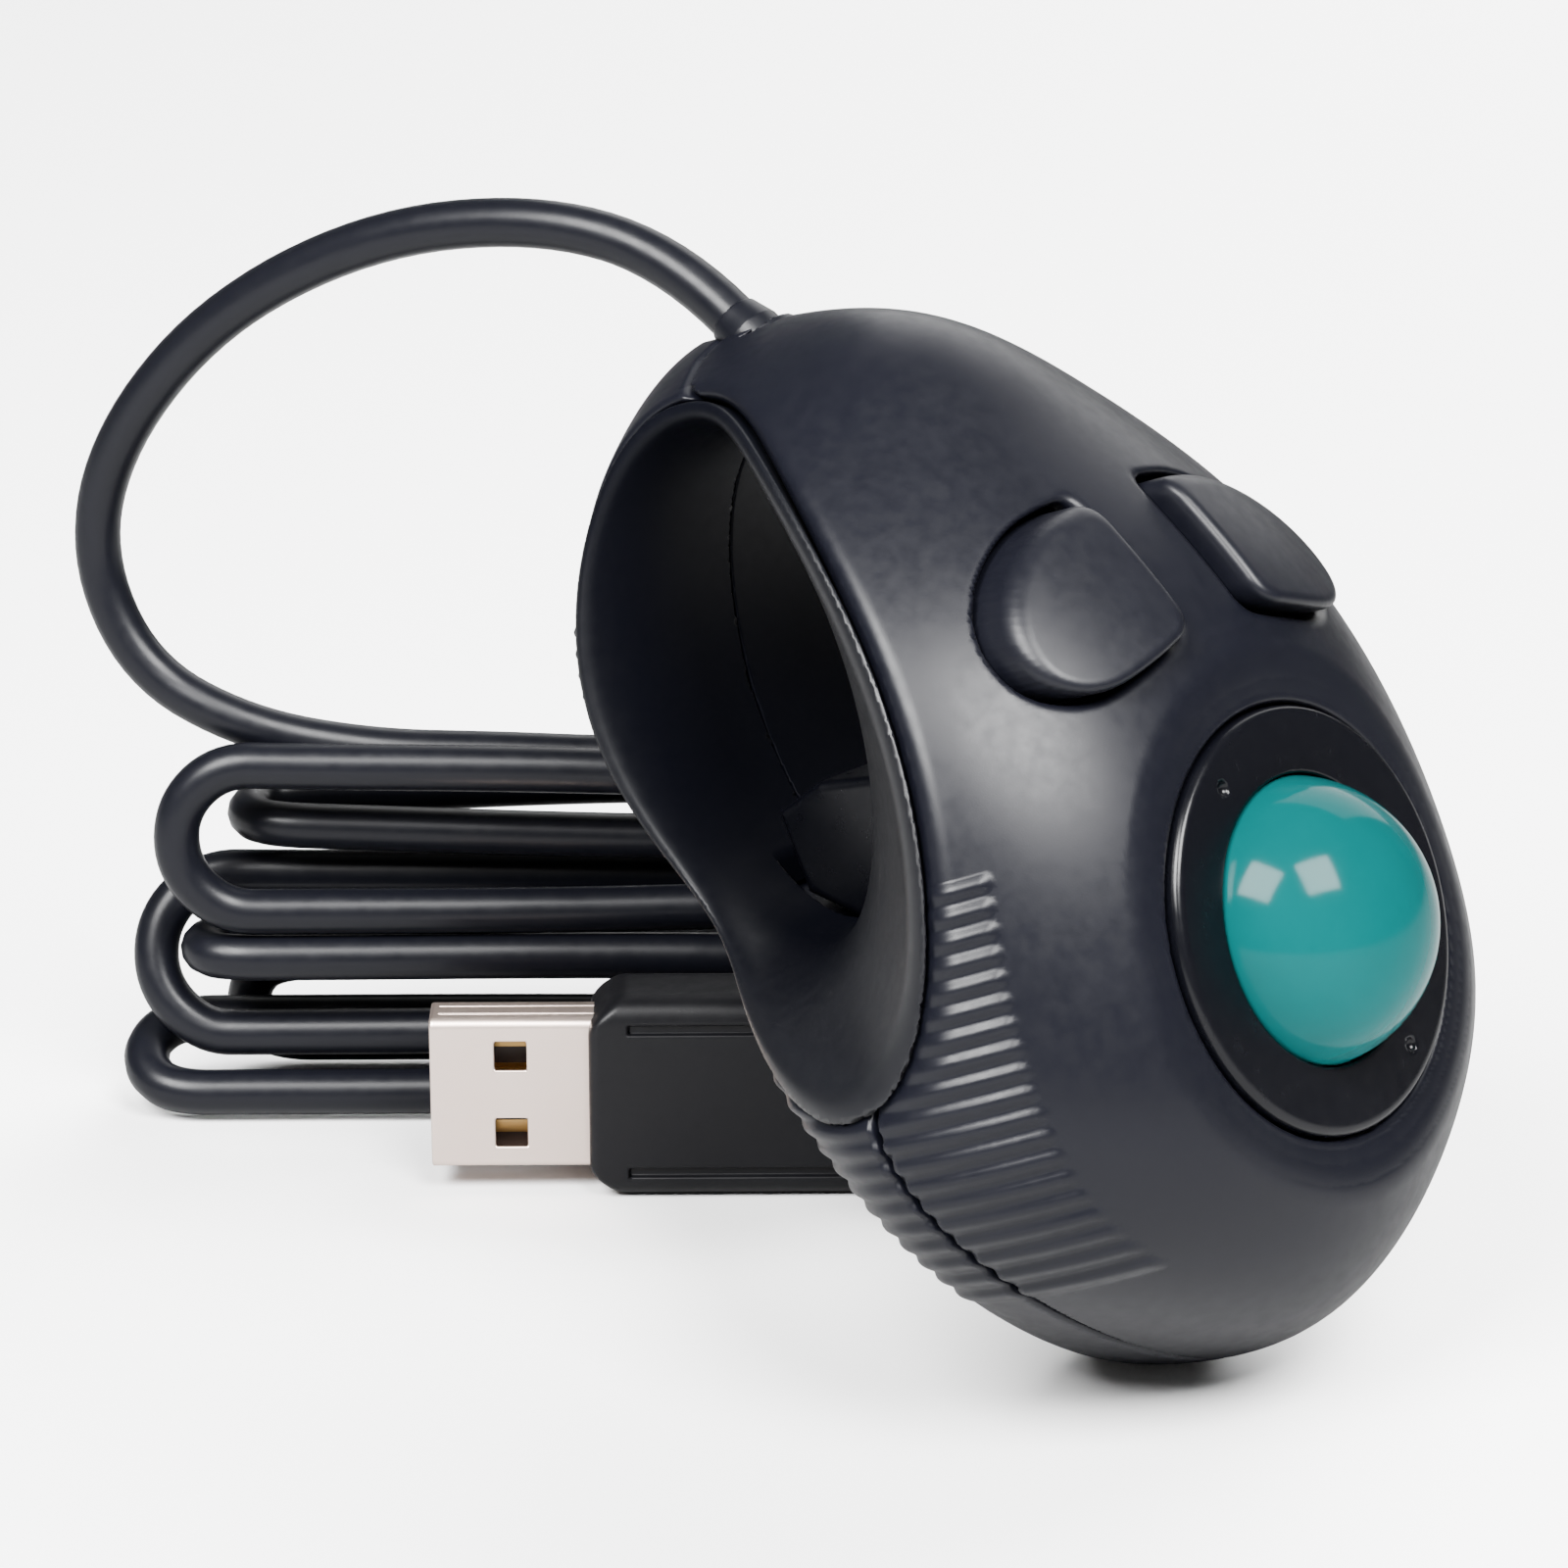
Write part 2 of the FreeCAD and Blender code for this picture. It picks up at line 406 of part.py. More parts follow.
# ---------------------------------------------------------------- tubes with tangent arcs
def tube(pts, r, label):
    pts = [V(*p) for p in pts]
    edges, cur, radii = [], pts[0], []
    for i in range(1, len(pts) - 1):
        a, p, c = pts[i - 1], pts[i], pts[i + 1]
        u, v = (p - a), (c - p)
        lu, lv = u.Length, v.Length
        u.normalize(); v.normalize()
        ang = u.getAngle(v)
        cut_ = 0.45 * min(lu, lv)
        rad = cut_ / math.tan(ang / 2)
        radii.append(round(rad, 1))
        s, e = p - u * cut_, p + v * cut_
        m = v - u
        m.normalize()
        cen = p + m * (rad / math.cos(ang / 2))
        d = p - cen
        d.normalize()
        mid = cen + d * rad
        if (s - cur).Length > 1e-6:
            edges.append(Part.LineSegment(cur, s).toShape())
        edges.append(Part.Arc(s, mid, e).toShape())
        cur = e
    edges.append(Part.LineSegment(cur, pts[-1]).toShape())
    w = Part.Wire(edges)
    d0 = pts[1] - pts[0]
    d0.normalize()
    prof = Part.Wire([Part.makeCircle(r, pts[0], d0)])
    sh = w.makePipeShell([prof], True, True)
    if sh.Volume < 0:
        sh.reverse()
    print(label, "radii", radii, "length", round(w.Length, 1), "volume/(section*length)", round(sh.Volume / (math.pi * r * r * w.Length), 4), sh.isValid())
    return sh


p0 = EXIT - EXIT_D * 3.45
wires = [(p0.x, 0, p0.z), (-45.3, -0.6, -30.6), (-43.6, -2.2, -24.2), (-39.8, -4.6, -18.6), (-33.82, -6.2, -16.0)]
put("signal_wires", tube(wires, 0.8, "signal_wires"))
tw = [(0.4, 6.8, -23.48), (0.4, 6.9, -21.2), (0.9, 7.1, -18.62)]
put("trigger_wires", tube(tw, 0.45, "trigger_wires"))
grom = Part.makeCylinder(2.4, 4.2, EXIT - EXIT_D * 3.3, EXIT_D).fuse(Part.makeCylinder(3.2, 1.1, EXIT - EXIT_D * 3.4, EXIT_D))
put("cable_grommet", grom)

# free stretch of the cable, from the tail round to the hank (standing frame, mm)
e_row = AX_S * EXIT_D.x + AX_W * EXIT_D.z
start = loc(EXIT.x, 0, EXIT.z) + e_row * 0.9
nxt = start + e_row * 7.0
LOOP = [(start.x, start.y, start.z), (nxt.x, nxt.y, nxt.z), (-54.5, -3.2, 73.9), (-67.5, -7.4, 71.6), (-80.5, -11.2, 64.4),
        (-89.8, -13.4, 54.0), (-92.9, -14.0, 44.2), (-88.8, -13.1, 35.2), (-80.7, -9.6, 31.1)]
LOOP += [tuple(table(-67.0, -55.4, 29.0)), tuple(table(-57.0, -55.6, 28.7))]
put("cable", tube(LOOP, CABLE_R, "cable"), False)
BOOT_END = PLUG_T0 + OVER_LEN + 12.0
LEAD = [tuple(table(*q)) for q in ((BOOT_END, -38.3, 8.0), (-8.5, -38.1, 7.4), (-3.0, -38.6, 6.4), (4.96, -38.33, 4.7), (11.39, -42.89, 3.3), (13.85, -50.44, 2.5),
                                   (11.49, -57.87, 2.2), (5.52, -62.49, 2.1), (HANK_T1, -62.9, 2.1))]
put("cable_lead", tube(LEAD, CABLE_R, "cable_lead"), False)


def tbox(t0, t1, n0, n1, z0, z1):
    """Box in the table frame."""
    pts = [table(t0, n0, z0), table(t1, n0, z0), table(t1, n1, z0), table(t0, n1, z0), table(t0, n0, z0)]
    return Part.Face(Part.makePolygon(pts)).extrude(V(0, 0, z1 - z0))


def tprof(pts, n0, n1):
    """Prism of a (t, z) polygon between two n."""
    w = Part.makePolygon([table(t, n0, z) for t, z in pts + pts[:1]])
    d = table(0, n1, 0) - table(0, n0, 0)
    return Part.Face(w).extrude(d)


# hank: the outer shape of the folded turns, waisted where the tie holds it
hp = [(HANK_T0, 6), (HANK_T0 + 3, 0), (HANK_T1 - 4, 0), (HANK_T1, 0.3), (HANK_T1, 22), (HANK_T1 - 7, 29), (HANK_T1 - 14, HANK_H), (-57, HANK_H), (-57, 26.4), (HANK_T0 + 8, 26.4), (HANK_T0 + 2, 22), (HANK_T0, 16)]
hank = tprof(hp, HANK_N0, HANK_N1)
tie_out = tbox(-32.0, -28.5, HANK_N0, HANK_N1, 0.0, HANK_H)
tie_in = tbox(-33.0, -27.5, HANK_N0 - 0.9, HANK_N1 + 0.9, 0.9, HANK_H - 0.9)
hank = hank.cut(tie_out.cut(tie_in))
tie = tbox(-31.98, -28.52, HANK_N0, HANK_N1, 0.0, HANK_H).cut(tbox(-33.0, -27.5, HANK_N0 - 0.88, HANK_N1 + 0.88, 0.88, HANK_H - 0.88))
put("cable_hank", hank, False)
put("hank_tie", tie, False)

# USB plug standing on its narrow edge
nc = PLUG_N0 - OVER_TH / 2
over = tbox(PLUG_T0, PLUG_T0 + OVER_LEN, PLUG_N0, PLUG_N0 - OVER_TH, 0, OVER_H)
try:
    over = over.makeFillet(0.9, [e for e in over.Edges if e.Length > 20])
except Exception:
    pass
for sd in (1, -1):
    g0, g1 = (PLUG_N0 + 1, PLUG_N0 - 0.35) if sd > 0 else (PLUG_N0 - OVER_TH + 0.35, PLUG_N0 - OVER_TH - 1)
    over = over.cut(tbox(PLUG_T0 + 3.0, PLUG_T0 + OVER_LEN - 1.0, g0, g1, 1.9, 2.6)).cut(tbox(PLUG_T0 + 3.0, PLUG_T0 + OVER_LEN - 1.0, g0, g1, 13.4, 14.1))
zc = OVER_H / 2
s_in = tbox(PLUG_T0 - SHELL_LEN - 1, PLUG_T0 + 6.0, nc + SHELL_TH / 2 - SHELL_WALL, nc - SHELL_TH / 2 + SHELL_WALL, zc - SHELL_H / 2 + SHELL_WALL, zc + SHELL_H / 2 - SHELL_WALL)
s_out = tbox(PLUG_T0 - SHELL_LEN, PLUG_T0 + 5.0, nc + SHELL_TH / 2, nc - SHELL_TH / 2, zc - SHELL_H / 2, zc + SHELL_H / 2)
over = over.cut(s_out)
boot_d = table(1, 0, 0) - table(0, 0, 0)
boot_p = table(PLUG_T0 + OVER_LEN, -38.3, 8.0)
boot = Part.makeCone(3.2, 2.3, 12.0, boot_p, boot_d)
for k in range(4):
    a = table(PLUG_T0 + OVER_LEN + 2.2 + 2.4 * k, -38.3, 8.0)
    boot = boot.cut(Part.makeCylinder(6, 1.0, a, boot_d).cut(Part.makeCylinder(2.15, 1.0, a, boot_d)))
shell = s_out.cut(s_in)
holes = []
for tq in (PLUG_T0 - 5.9,):
    for zq in (zc - 3.1, zc + 3.1):
        holes.append(tbox(tq - 1.2, tq + 1.2, nc + SHELL_TH, nc - SHELL_TH, zq - 1.15, zq + 1.15))
for h in holes:
    shell = shell.cut(h)
ins = tbox(PLUG_T0 - SHELL_LEN + 0.6, PLUG_T0 + 4.9, nc - 0.15, nc - SHELL_TH / 2 + SHELL_WALL + 0.01, zc - SHELL_H / 2 + SHELL_WALL + 0.02, zc + SHELL_H / 2 - SHELL_WALL - 0.02)
cons = []
for k in range(4):
    z0 = zc - 3.5 + k * 7.0 / 3
    a = tbox(PLUG_T0 - SHELL_LEN + 1.2, PLUG_T0 + 2.0, nc - 0.13, nc - 0.45, z0 - 0.5, z0 + 0.5)
    ins = ins.cut(a)
    cons.append(a)
put("usb_overmold", over, False)
put("usb_boot", max(boot.Solids, key=lambda q: q.Volume), False)
put("usb_shell", shell, False)
put("usb_insulator", ins, False)
put("usb_contacts", Part.makeCompound(cons), False)

for name, shape in NODES.items():
    n = len(shape.Solids)
    print("%-24s solids %d valid %s vol %.2f z %.2f" % (name, n, shape.isValid(), shape.Volume, shape.BoundBox.ZMin))
    shape.exportStep("parts/" + name + ".step")
print(len(NODES), "nodes")
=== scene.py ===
import json
import math
import bpy
import bmesh
import numpy as np
from mathutils import Vector, Matrix


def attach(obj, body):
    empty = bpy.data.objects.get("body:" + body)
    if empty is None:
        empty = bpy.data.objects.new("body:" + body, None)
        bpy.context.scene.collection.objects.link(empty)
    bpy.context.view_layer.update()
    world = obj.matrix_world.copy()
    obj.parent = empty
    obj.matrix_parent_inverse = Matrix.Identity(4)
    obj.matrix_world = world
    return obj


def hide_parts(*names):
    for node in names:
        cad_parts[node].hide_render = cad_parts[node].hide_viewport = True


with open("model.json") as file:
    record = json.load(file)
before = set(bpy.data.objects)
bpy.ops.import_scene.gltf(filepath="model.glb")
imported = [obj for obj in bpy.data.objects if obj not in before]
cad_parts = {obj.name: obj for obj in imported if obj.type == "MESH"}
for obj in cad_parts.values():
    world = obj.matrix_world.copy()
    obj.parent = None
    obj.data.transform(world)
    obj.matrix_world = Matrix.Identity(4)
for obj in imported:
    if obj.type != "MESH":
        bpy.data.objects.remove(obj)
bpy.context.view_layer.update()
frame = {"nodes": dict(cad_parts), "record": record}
MM = 0.001
SCN = bpy.context.scene

# ------------------------------------------------------------ shared geometry (mm)
TILT = math.radians(20.98)
AX_S = np.array([math.sin(TILT), 0, -math.cos(TILT)])
AX_Y = np.array([0.0, 1.0, 0.0])
AX_W = np.array([math.cos(TILT), 0, math.sin(TILT)])
ORG = np.array([13.10, 0.0, 35.00])
LX, LY = 0.7507, 0.6606


def to_row(p):
    """Local (along, across, out) in mm to the row frame in metres."""
    p = np.asarray(p, float).reshape(-1, 3)
    return (p[:, :1] * AX_S + p[:, 1:2] * AX_Y + p[:, 2:3] * AX_W + ORG) * MM


def table(t, n, z):
    """t along the plug and hank, n towards the back, z above the table: metres."""
    return ((t * LX + n * LY + ORG[0]) * MM, (t * LY - n * LX + ORG[1]) * MM, z * MM)


# ------------------------------------------------------------ camera
cam_data = bpy.data.cameras.new("camera")
cam_data.sensor_width = 36.0
cam_data.lens = 110.16
cam_data.clip_start, cam_data.clip_end = 0.02, 20
cam = bpy.data.objects.new("camera", cam_data)
SCN.collection.objects.link(cam)
RIGHT, UP, BACK = (0.75983, 0.65012, 0.0), (-0.20576, 0.24048, 0.94860), (0.61670, -0.72078, 0.31649)
rot = Matrix((RIGHT, UP, BACK)).transposed()
cam.matrix_world = Matrix.Translation((0.181463, -0.251695, 0.144815)) @ rot.to_4x4()
SCN.camera = cam

# ------------------------------------------------------------ the cable: one spline from the tail to the plug
CABLE_R = 1.8
EXIT = np.array([-48.75, 0, -35.8])
E_DIR = AX_S * -0.8 + AX_W * -0.6
START = (to_row(EXIT)[0] / MM) + E_DIR * 0.9
NXT = START + E_DIR * 7.0
ROUTE = [tuple(START * MM), tuple(NXT * MM)]
for q in [(-54.5, -3.2, 73.9), (-67.5, -7.4, 71.6), (-80.5, -11.2, 64.4), (-89.8, -13.4, 54.0), (-92.9, -14.0, 44.2), (-88.8, -13.1, 35.2), (-80.7, -9.6, 31.1)]:
    ROUTE.append(tuple(v * MM for v in q))
ROUTE += [table(-67.0, -55.4, 29.0), table(-57.0, -55.6, 28.7)]

# strands of the folded length, by their place in the bundle's section: (n, z)
STRANDS = [(-55.6, 28.3),
           (-55.7, 22.4), (-62.2, 23.7),
           (-51.5, 27.7), (-51.2, 17.9),
           (-58.8, 17.4), (-52.8, 7.2),
           (-50.6, 13.3), (-57.2, 12.6),
           (-58.4, 5.2), (-51.2, 2.2),
           (-62.9, 9.4), (-62.9, 2.1)]
# where each strand's fold reaches: right end after strand 0, 2, 4 ..., left end after strand 1, 3, 5 ...
ENDS = [-9.0, -77.0, -14.0, -82.0, -7.0, -84.5, -8.0, -80.5, -12.0, -85.5, -5.0, -78.0]
BOW = [(0.0, 0.0), (0.5, -0.5), (-0.4, 0.5), (0.2, 0.9), (-0.3, -0.6), (0.5, 0.4), (0.2, -0.3), (-0.2, 0.4), (0.3, 0.3), (-0.4, 0.3), (0.0, 0.0), (-0.2, 0.2), (0.0, 0.0)]


# how far each strand leans: (n, z) added at its left end and taken off at its right end
LEAN = [(0.0, 0.0), (0.4, 0.7), (-0.3, -0.8), (-0.2, 1.5), (0.3, -0.5), (0.4, 0.7), (-0.4, -0.7), (0.2, 0.5), (0.3, 0.8), (-0.3, 0.4), (0.0, 0.0), (0.2, -0.3), (0.0, 0.0)]


def at(i, t):
    """Strand i's place in the section at t."""
    f = -(t + 45.0) / 37.0
    return STRANDS[i][0] + LEAN[i][0] * f, STRANDS[i][1] + LEAN[i][1] * f


def fold(a, b, reach):
    """The four control points of a fold from strand a to strand b whose cable reaches to t = reach."""
    (na, za), (nb, zb) = a, b
    r = math.hypot(na - nb, za - zb) / 2
    sg = 1 if reach > -45 else -1
    cn, cz = (na + nb) / 2, (za + zb) / 2
    en, ez = (na - nb) / 2, (za - zb) / 2
    tc = reach - sg * r
    return [table(tc + sg * p * r, cn + q * en, cz + q * ez) for p, q in ((0.414, 1.0), (1.0, 0.414), (1.0, -0.414), (0.414, -1.0))]


spans = []
for i in range(len(STRANDS)):
    t0 = -57.0 if i == 0 else ENDS[i - 1]
    t1 = -2.0 if i == len(STRANDS) - 1 else ENDS[i]
    bn, bz = BOW[i]
    cut0 = 8.0 if i else 8.0
    a0 = t0 + (cut0 if t1 > t0 else -cut0)
    a1 = t1 + (-9.0 if t1 > t0 else 9.0)
    if i == len(STRANDS) - 1:
        a1 = -7.0
    for k, (f, wgt) in enumerate(((0.0, 0.3), (0.36, 1.0), (0.68, 0.8), (1.0, 0.2))):
        t = a0 + (a1 - a0) * f
        n, z = at(i, t)
        ROUTE.append(table(t, n + bn * wgt, max(z + bz * wgt, 1.95)))
    if i < len(STRANDS) - 1:
        ROUTE += fold(at(i, ENDS[i]), at(i + 1, ENDS[i]), ENDS[i])
LEAD = [(-2.0, -62.9, 2.1), (5.52, -62.49, 2.1), (11.49, -57.87, 2.2), (13.85, -50.44, 2.5), (11.39, -42.89, 3.3),
        (4.96, -38.33, 4.7), (-3.0, -38.6, 6.4), (-8.5, -38.1, 7.4), (-13.9, -38.3, 8.0)]
ROUTE += [table(*q) for q in LEAD]

cu = bpy.data.curves.new("usb_cable", "CURVE")
cu.dimensions = "3D"
sp = cu.splines.new("NURBS")
sp.points.add(len(ROUTE) - 1)
for i, p in enumerate(ROUTE):
    sp.points[i].co = (*p, 1.0)
    sp.points[i].radius = CABLE_R * MM
sp.order_u = 3
sp.use_endpoint_u = True
sp.use_smooth = True
sp.resolution_u = 8
cu.bevel_depth = 1.0
cu.bevel_resolution = 5
cu.use_fill_caps = True
cable = bpy.data.objects.new("usb_cable", cu)
SCN.collection.objects.link(cable)
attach(cable, "housing")
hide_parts("cable", "cable_lead", "cable_hank")


# ------------------------------------------------------------ materials
def new_mat(name):
    m = bpy.data.materials.new(name)
    m.use_nodes = True
    nt = m.node_tree
    return m, nt, nt.nodes["Principled BSDF"]


def link(nt, a, b):
    nt.links.new(a, b)


def coords(nt, scale=1.0):
    tc = nt.nodes.new("ShaderNodeTexCoord")
    mp = nt.nodes.new("ShaderNodeMapping")
    mp.inputs["Scale"].default_value = (scale,) * 3
    link(nt, tc.outputs["Object"], mp.inputs["Vector"])
    return mp.outputs["Vector"]


def noise(nt, vec, scale, detail=3.0, rough=0.5):
    n = nt.nodes.new("ShaderNodeTexNoise")
    n.inputs["Scale"].default_value = scale
    n.inputs["Detail"].default_value = detail
    n.inputs["Roughness"].default_value = rough
    link(nt, vec, n.inputs["Vector"])
    return n.outputs["Fac"]


def ramp(nt, fac, a, b, lo=0.0, hi=1.0):
    r = nt.nodes.new("ShaderNodeMapRange")
    r.inputs["From Min"].default_value, r.inputs["From Max"].default_value = lo, hi
    r.inputs["To Min"].default_value, r.inputs["To Max"].default_value = a, b
    link(nt, fac, r.inputs["Value"])
    return r.outputs["Result"]


def mix(nt, fac, a, b):
    m = nt.nodes.new("ShaderNodeMix")
    m.data_type = "RGBA"
    link(nt, fac, m.inputs["Factor"])
    for sock, v in ((m.inputs[6], a), (m.inputs[7], b)):
        if hasattr(v, "is_output"):
            link(nt, v, sock)
        else:
            sock.default_value = (*v, 1.0)
    return m.outputs[2]


def bump(nt, height, strength, dist, base=None):
    b = nt.nodes.new("ShaderNodeBump")
    b.inputs["Strength"].default_value = strength
    b.inputs["Distance"].default_value = dist
    link(nt, height, b.inputs["Height"])
    if base is not None:
        link(nt, base, b.inputs["Normal"])
    return b.outputs["Normal"]


def edge_wear(nt):
    """0 on flats, 1 on convex edges."""
    g = nt.nodes.new("ShaderNodeNewGeometry")
    return ramp(nt, g.outputs["Pointiness"], 0.0, 1.0, 0.52, 0.60)


def plastic(name, c1, c2, rough, grain=0.12, grain_scale=9000.0, coat=0.0, spec=0.5, wear=0.0, wear_col=(0.12, 0.12, 0.14)):
    m, nt, p = new_mat(name)
    v = coords(nt)
    big = noise(nt, v, 60.0, 4.0)
    mid = noise(nt, v, 900.0, 3.0)
    col = mix(nt, big, c1, c2)
    if wear:
        w = edge_wear(nt)
        mul = nt.nodes.new("ShaderNodeMath")
        mul.operation = "MULTIPLY"
        link(nt, w, mul.inputs[0])
        mul.inputs[1].default_value = wear
        col = mix(nt, mul.outputs[0], col, wear_col)
    link(nt, col, p.inputs["Base Color"])
    link(nt, ramp(nt, mid, rough - 0.035, rough + 0.035, 0.3, 0.7), p.inputs["Roughness"])
    fine = noise(nt, v, grain_scale, 2.0, 0.6)
    link(nt, bump(nt, fine, grain, 0.00003, None), p.inputs["Normal"])
    p.inputs["Specular IOR Level"].default_value = spec
    if coat:
        p.inputs["Coat Weight"].default_value = coat
        p.inputs["Coat Roughness"].default_value = 0.06
    return m


def metal(name, c1, c2, rough, scratch=0.15):
    m, nt, p = new_mat(name)
    v = coords(nt)
    tc = nt.nodes.new("ShaderNodeMapping")
    tc.inputs["Scale"].default_value = (40.0, 40.0, 2500.0)
    link(nt, v, tc.inputs["Vector"])
    brushed = noise(nt, tc.outputs["Vector"], 1.0, 4.0, 0.6)
    cloudy = noise(nt, v, 250.0, 4.0)
    link(nt, mix(nt, cloudy, c1, c2), p.inputs["Base Color"])
    p.inputs["Metallic"].default_value = 1.0
    link(nt, ramp(nt, brushed, rough - 0.07, rough + 0.07, 0.3, 0.7), p.inputs["Roughness"])
    link(nt, bump(nt, brushed, scratch, 0.00002), p.inputs["Normal"])
    return m


M = {}
M["shell"] = plastic("shell_black", (0.0020, 0.0022, 0.0042), (0.0030, 0.0032, 0.0058), 0.36, grain=0.10, spec=0.24, wear=0.05, wear_col=(0.012, 0.012, 0.017))
M["sleeve"] = plastic("sleeve_black", (0.0012, 0.0013, 0.0024), (0.0018, 0.0020, 0.0036), 0.41, grain=0.10, spec=0.25)
def painted_hole_shade(m, deep, near, s0, s1):
    """Painted shade: the sleeve's specular level drops deep inside the finger hole, by distance from the middle, so the
    hole's recess renders darker.
    """
    nt = m.node_tree
    p = [n for n in nt.nodes if n.type == "BSDF_PRINCIPLED"][0]
    sep = nt.nodes.new("ShaderNodeSeparateXYZ")
    link(nt, coords(nt), sep.inputs["Vector"])
    ab = nt.nodes.new("ShaderNodeMath")
    ab.operation = "ABSOLUTE"
    link(nt, sep.outputs["Y"], ab.inputs[0])
    mr = nt.nodes.new("ShaderNodeMapRange")
    mr.interpolation_type = "SMOOTHSTEP"
    for k, v in (("From Min", deep), ("From Max", near), ("To Min", s0), ("To Max", s1)):
        mr.inputs[k].default_value = v
    link(nt, ab.outputs[0], mr.inputs["Value"])
    mul = nt.nodes.new("ShaderNodeMath")
    mul.operation = "MULTIPLY"
    link(nt, mr.outputs["Result"], mul.inputs[0])
    mul.inputs[1].default_value = p.inputs["Specular IOR Level"].default_value
    link(nt, mul.outputs[0], p.inputs["Specular IOR Level"])


# painted shade: less specular deep inside the finger hole, darkening its recess
painted_hole_shade(M["sleeve"], 0.010, 0.021, 0.24, 1.6)
M["button"] = plastic("button_black", (0.0022, 0.0024, 0.0044), (0.0032, 0.0034, 0.0060), 0.38, grain=0.10, spec=0.26, wear=0.08, wear_col=(0.012, 0.012, 0.017))
M["bezel"] = plastic("bezel_black", (0.0012, 0.0013, 0.0022), (0.0018, 0.0019, 0.0030), 0.24, grain=0.02, spec=0.26)
M["inner_plastic"] = plastic("inner_black", (0.006, 0.006, 0.0065), (0.009, 0.009, 0.0096), 0.5, spec=0.25)
M["wheel"] = plastic("wheel_black", (0.006, 0.006, 0.0065), (0.009, 0.009, 0.0096), 0.45, spec=0.25)
M["white_plastic"] = plastic("nylon_white", (0.72, 0.70, 0.65), (0.80, 0.78, 0.74), 0.45)
M["trigger"] = plastic("trigger_black", (0.0009, 0.0010, 0.0018), (0.0014, 0.0015, 0.0026), 0.30, grain=0.08, spec=0.22)
M["plug_core"] = plastic("plug_core_brown", (0.020, 0.011, 0.008), (0.030, 0.017, 0.012), 0.5, spec=0.3)
M["chip"] = plastic("chip_black", (0.012, 0.012, 0.013), (0.02, 0.02, 0.021), 0.55, grain=0.3)
M["pcb"] = plastic("board_green", (0.008, 0.11, 0.035), (0.012, 0.15, 0.05), 0.3, grain=0.15, coat=0.4)
M["led"] = plastic("tinted_lens", (0.05, 0.015, 0.09), (0.07, 0.02, 0.12), 0.12, grain=0.02, coat=0.5)
M["capacitor"] = plastic("capacitor_sleeve", (0.012, 0.014, 0.05), (0.018, 0.02, 0.07), 0.25, coat=0.3)
M["wire"] = plastic("wire_red", (0.35, 0.015, 0.012), (0.45, 0.02, 0.018), 0.4)
M["cable"] = plastic("cable_black", (0.0022, 0.0024, 0.0040), (0.0034, 0.0036, 0.0058), 0.34, grain=0.12, grain_scale=6000.0, spec=0.22)
M["overmold"] = plastic("overmold_black", (0.0024, 0.0024, 0.0032), (0.0036, 0.0036, 0.0046), 0.42, grain=0.20, grain_scale=5000.0, spec=0.19, wear=0.1, wear_col=(0.012, 0.012, 0.014))
M["tie"] = plastic("tie_black", (0.005, 0.005, 0.0055), (0.008, 0.008, 0.009), 0.5, grain=0.2, spec=0.25)
M["steel"] = metal("zinc_steel", (0.50, 0.50, 0.52), (0.60, 0.60, 0.61), 0.35)
M["roller"] = metal("ground_steel", (0.60, 0.60, 0.62), (0.68, 0.68, 0.70), 0.22)
M["core"] = metal("core_steel", (0.45, 0.45, 0.47), (0.52, 0.52, 0.54), 0.4)
M["tin"] = metal("tinned_can", (0.66, 0.66, 0.68), (0.72, 0.72, 0.74), 0.25)
M["plug_metal"] = metal("nickel_plug", (0.98, 0.775, 0.675), (1.0, 0.84, 0.75), 0.36, scratch=0.10)
M["contact"] = metal("gold_flash", (0.34, 0.21, 0.075), (0.42, 0.27, 0.10), 0.3)


def ball_mat():
    m, nt, p = new_mat("ball_teal")
    v = coords(nt)
    cloud = noise(nt, v, 120.0, 5.0, 0.6)
    link(nt, mix(nt, cloud, (0.0, 0.040, 0.040), (0.0, 0.052, 0.053)), p.inputs["Base Color"])
    fine = noise(nt, v, 700.0, 3.0)
    link(nt, ramp(nt, fine, 0.10, 0.14, 0.3, 0.7), p.inputs["Roughness"])
    p.inputs["Specular IOR Level"].default_value = 0.10
    p.inputs["Coat Weight"].default_value = 0.0
    p.inputs["Coat Roughness"].default_value = 0.03
    p.inputs["Subsurface Weight"].default_value = 0.0
    p.inputs["Subsurface Radius"].default_value = (0.0008, 0.0025, 0.002)
    p.inputs["Subsurface Scale"].default_value = 1.0
    return m


M["ball"] = ball_mat()
cable.data.materials.append(M["cable"])

slot_of = {s["node"]: s["material_slot"] for s in frame["record"]["subparts"]}
for name, ob in frame["nodes"].items():
    ob.data.materials.clear()
    ob.data.materials.append(M[{"usb_insulator": "plug_core", "trigger": "trigger"}.get(name, slot_of[name])])


# ------------------------------------------------------------ meshing of distance fields
def smax(a, b, k):
    h = np.maximum(k - np.abs(a - b), 0.0)
    return np.maximum(a, b) + h * h / (4.0 * k)


def smin(a, b, k):
    return -smax(-a, -b, k)


def grad(fn, P, h=0.02):
    g = np.empty_like(P)
    for i in range(3):
        d = np.zeros(3)
        d[i] = h
        a, b = P + d, P - d
        g[:, i] = (fn(a[:, 0], a[:, 1], a[:, 2]) - fn(b[:, 0], b[:, 1], b[:, 2])) / (2 * h)
    return g


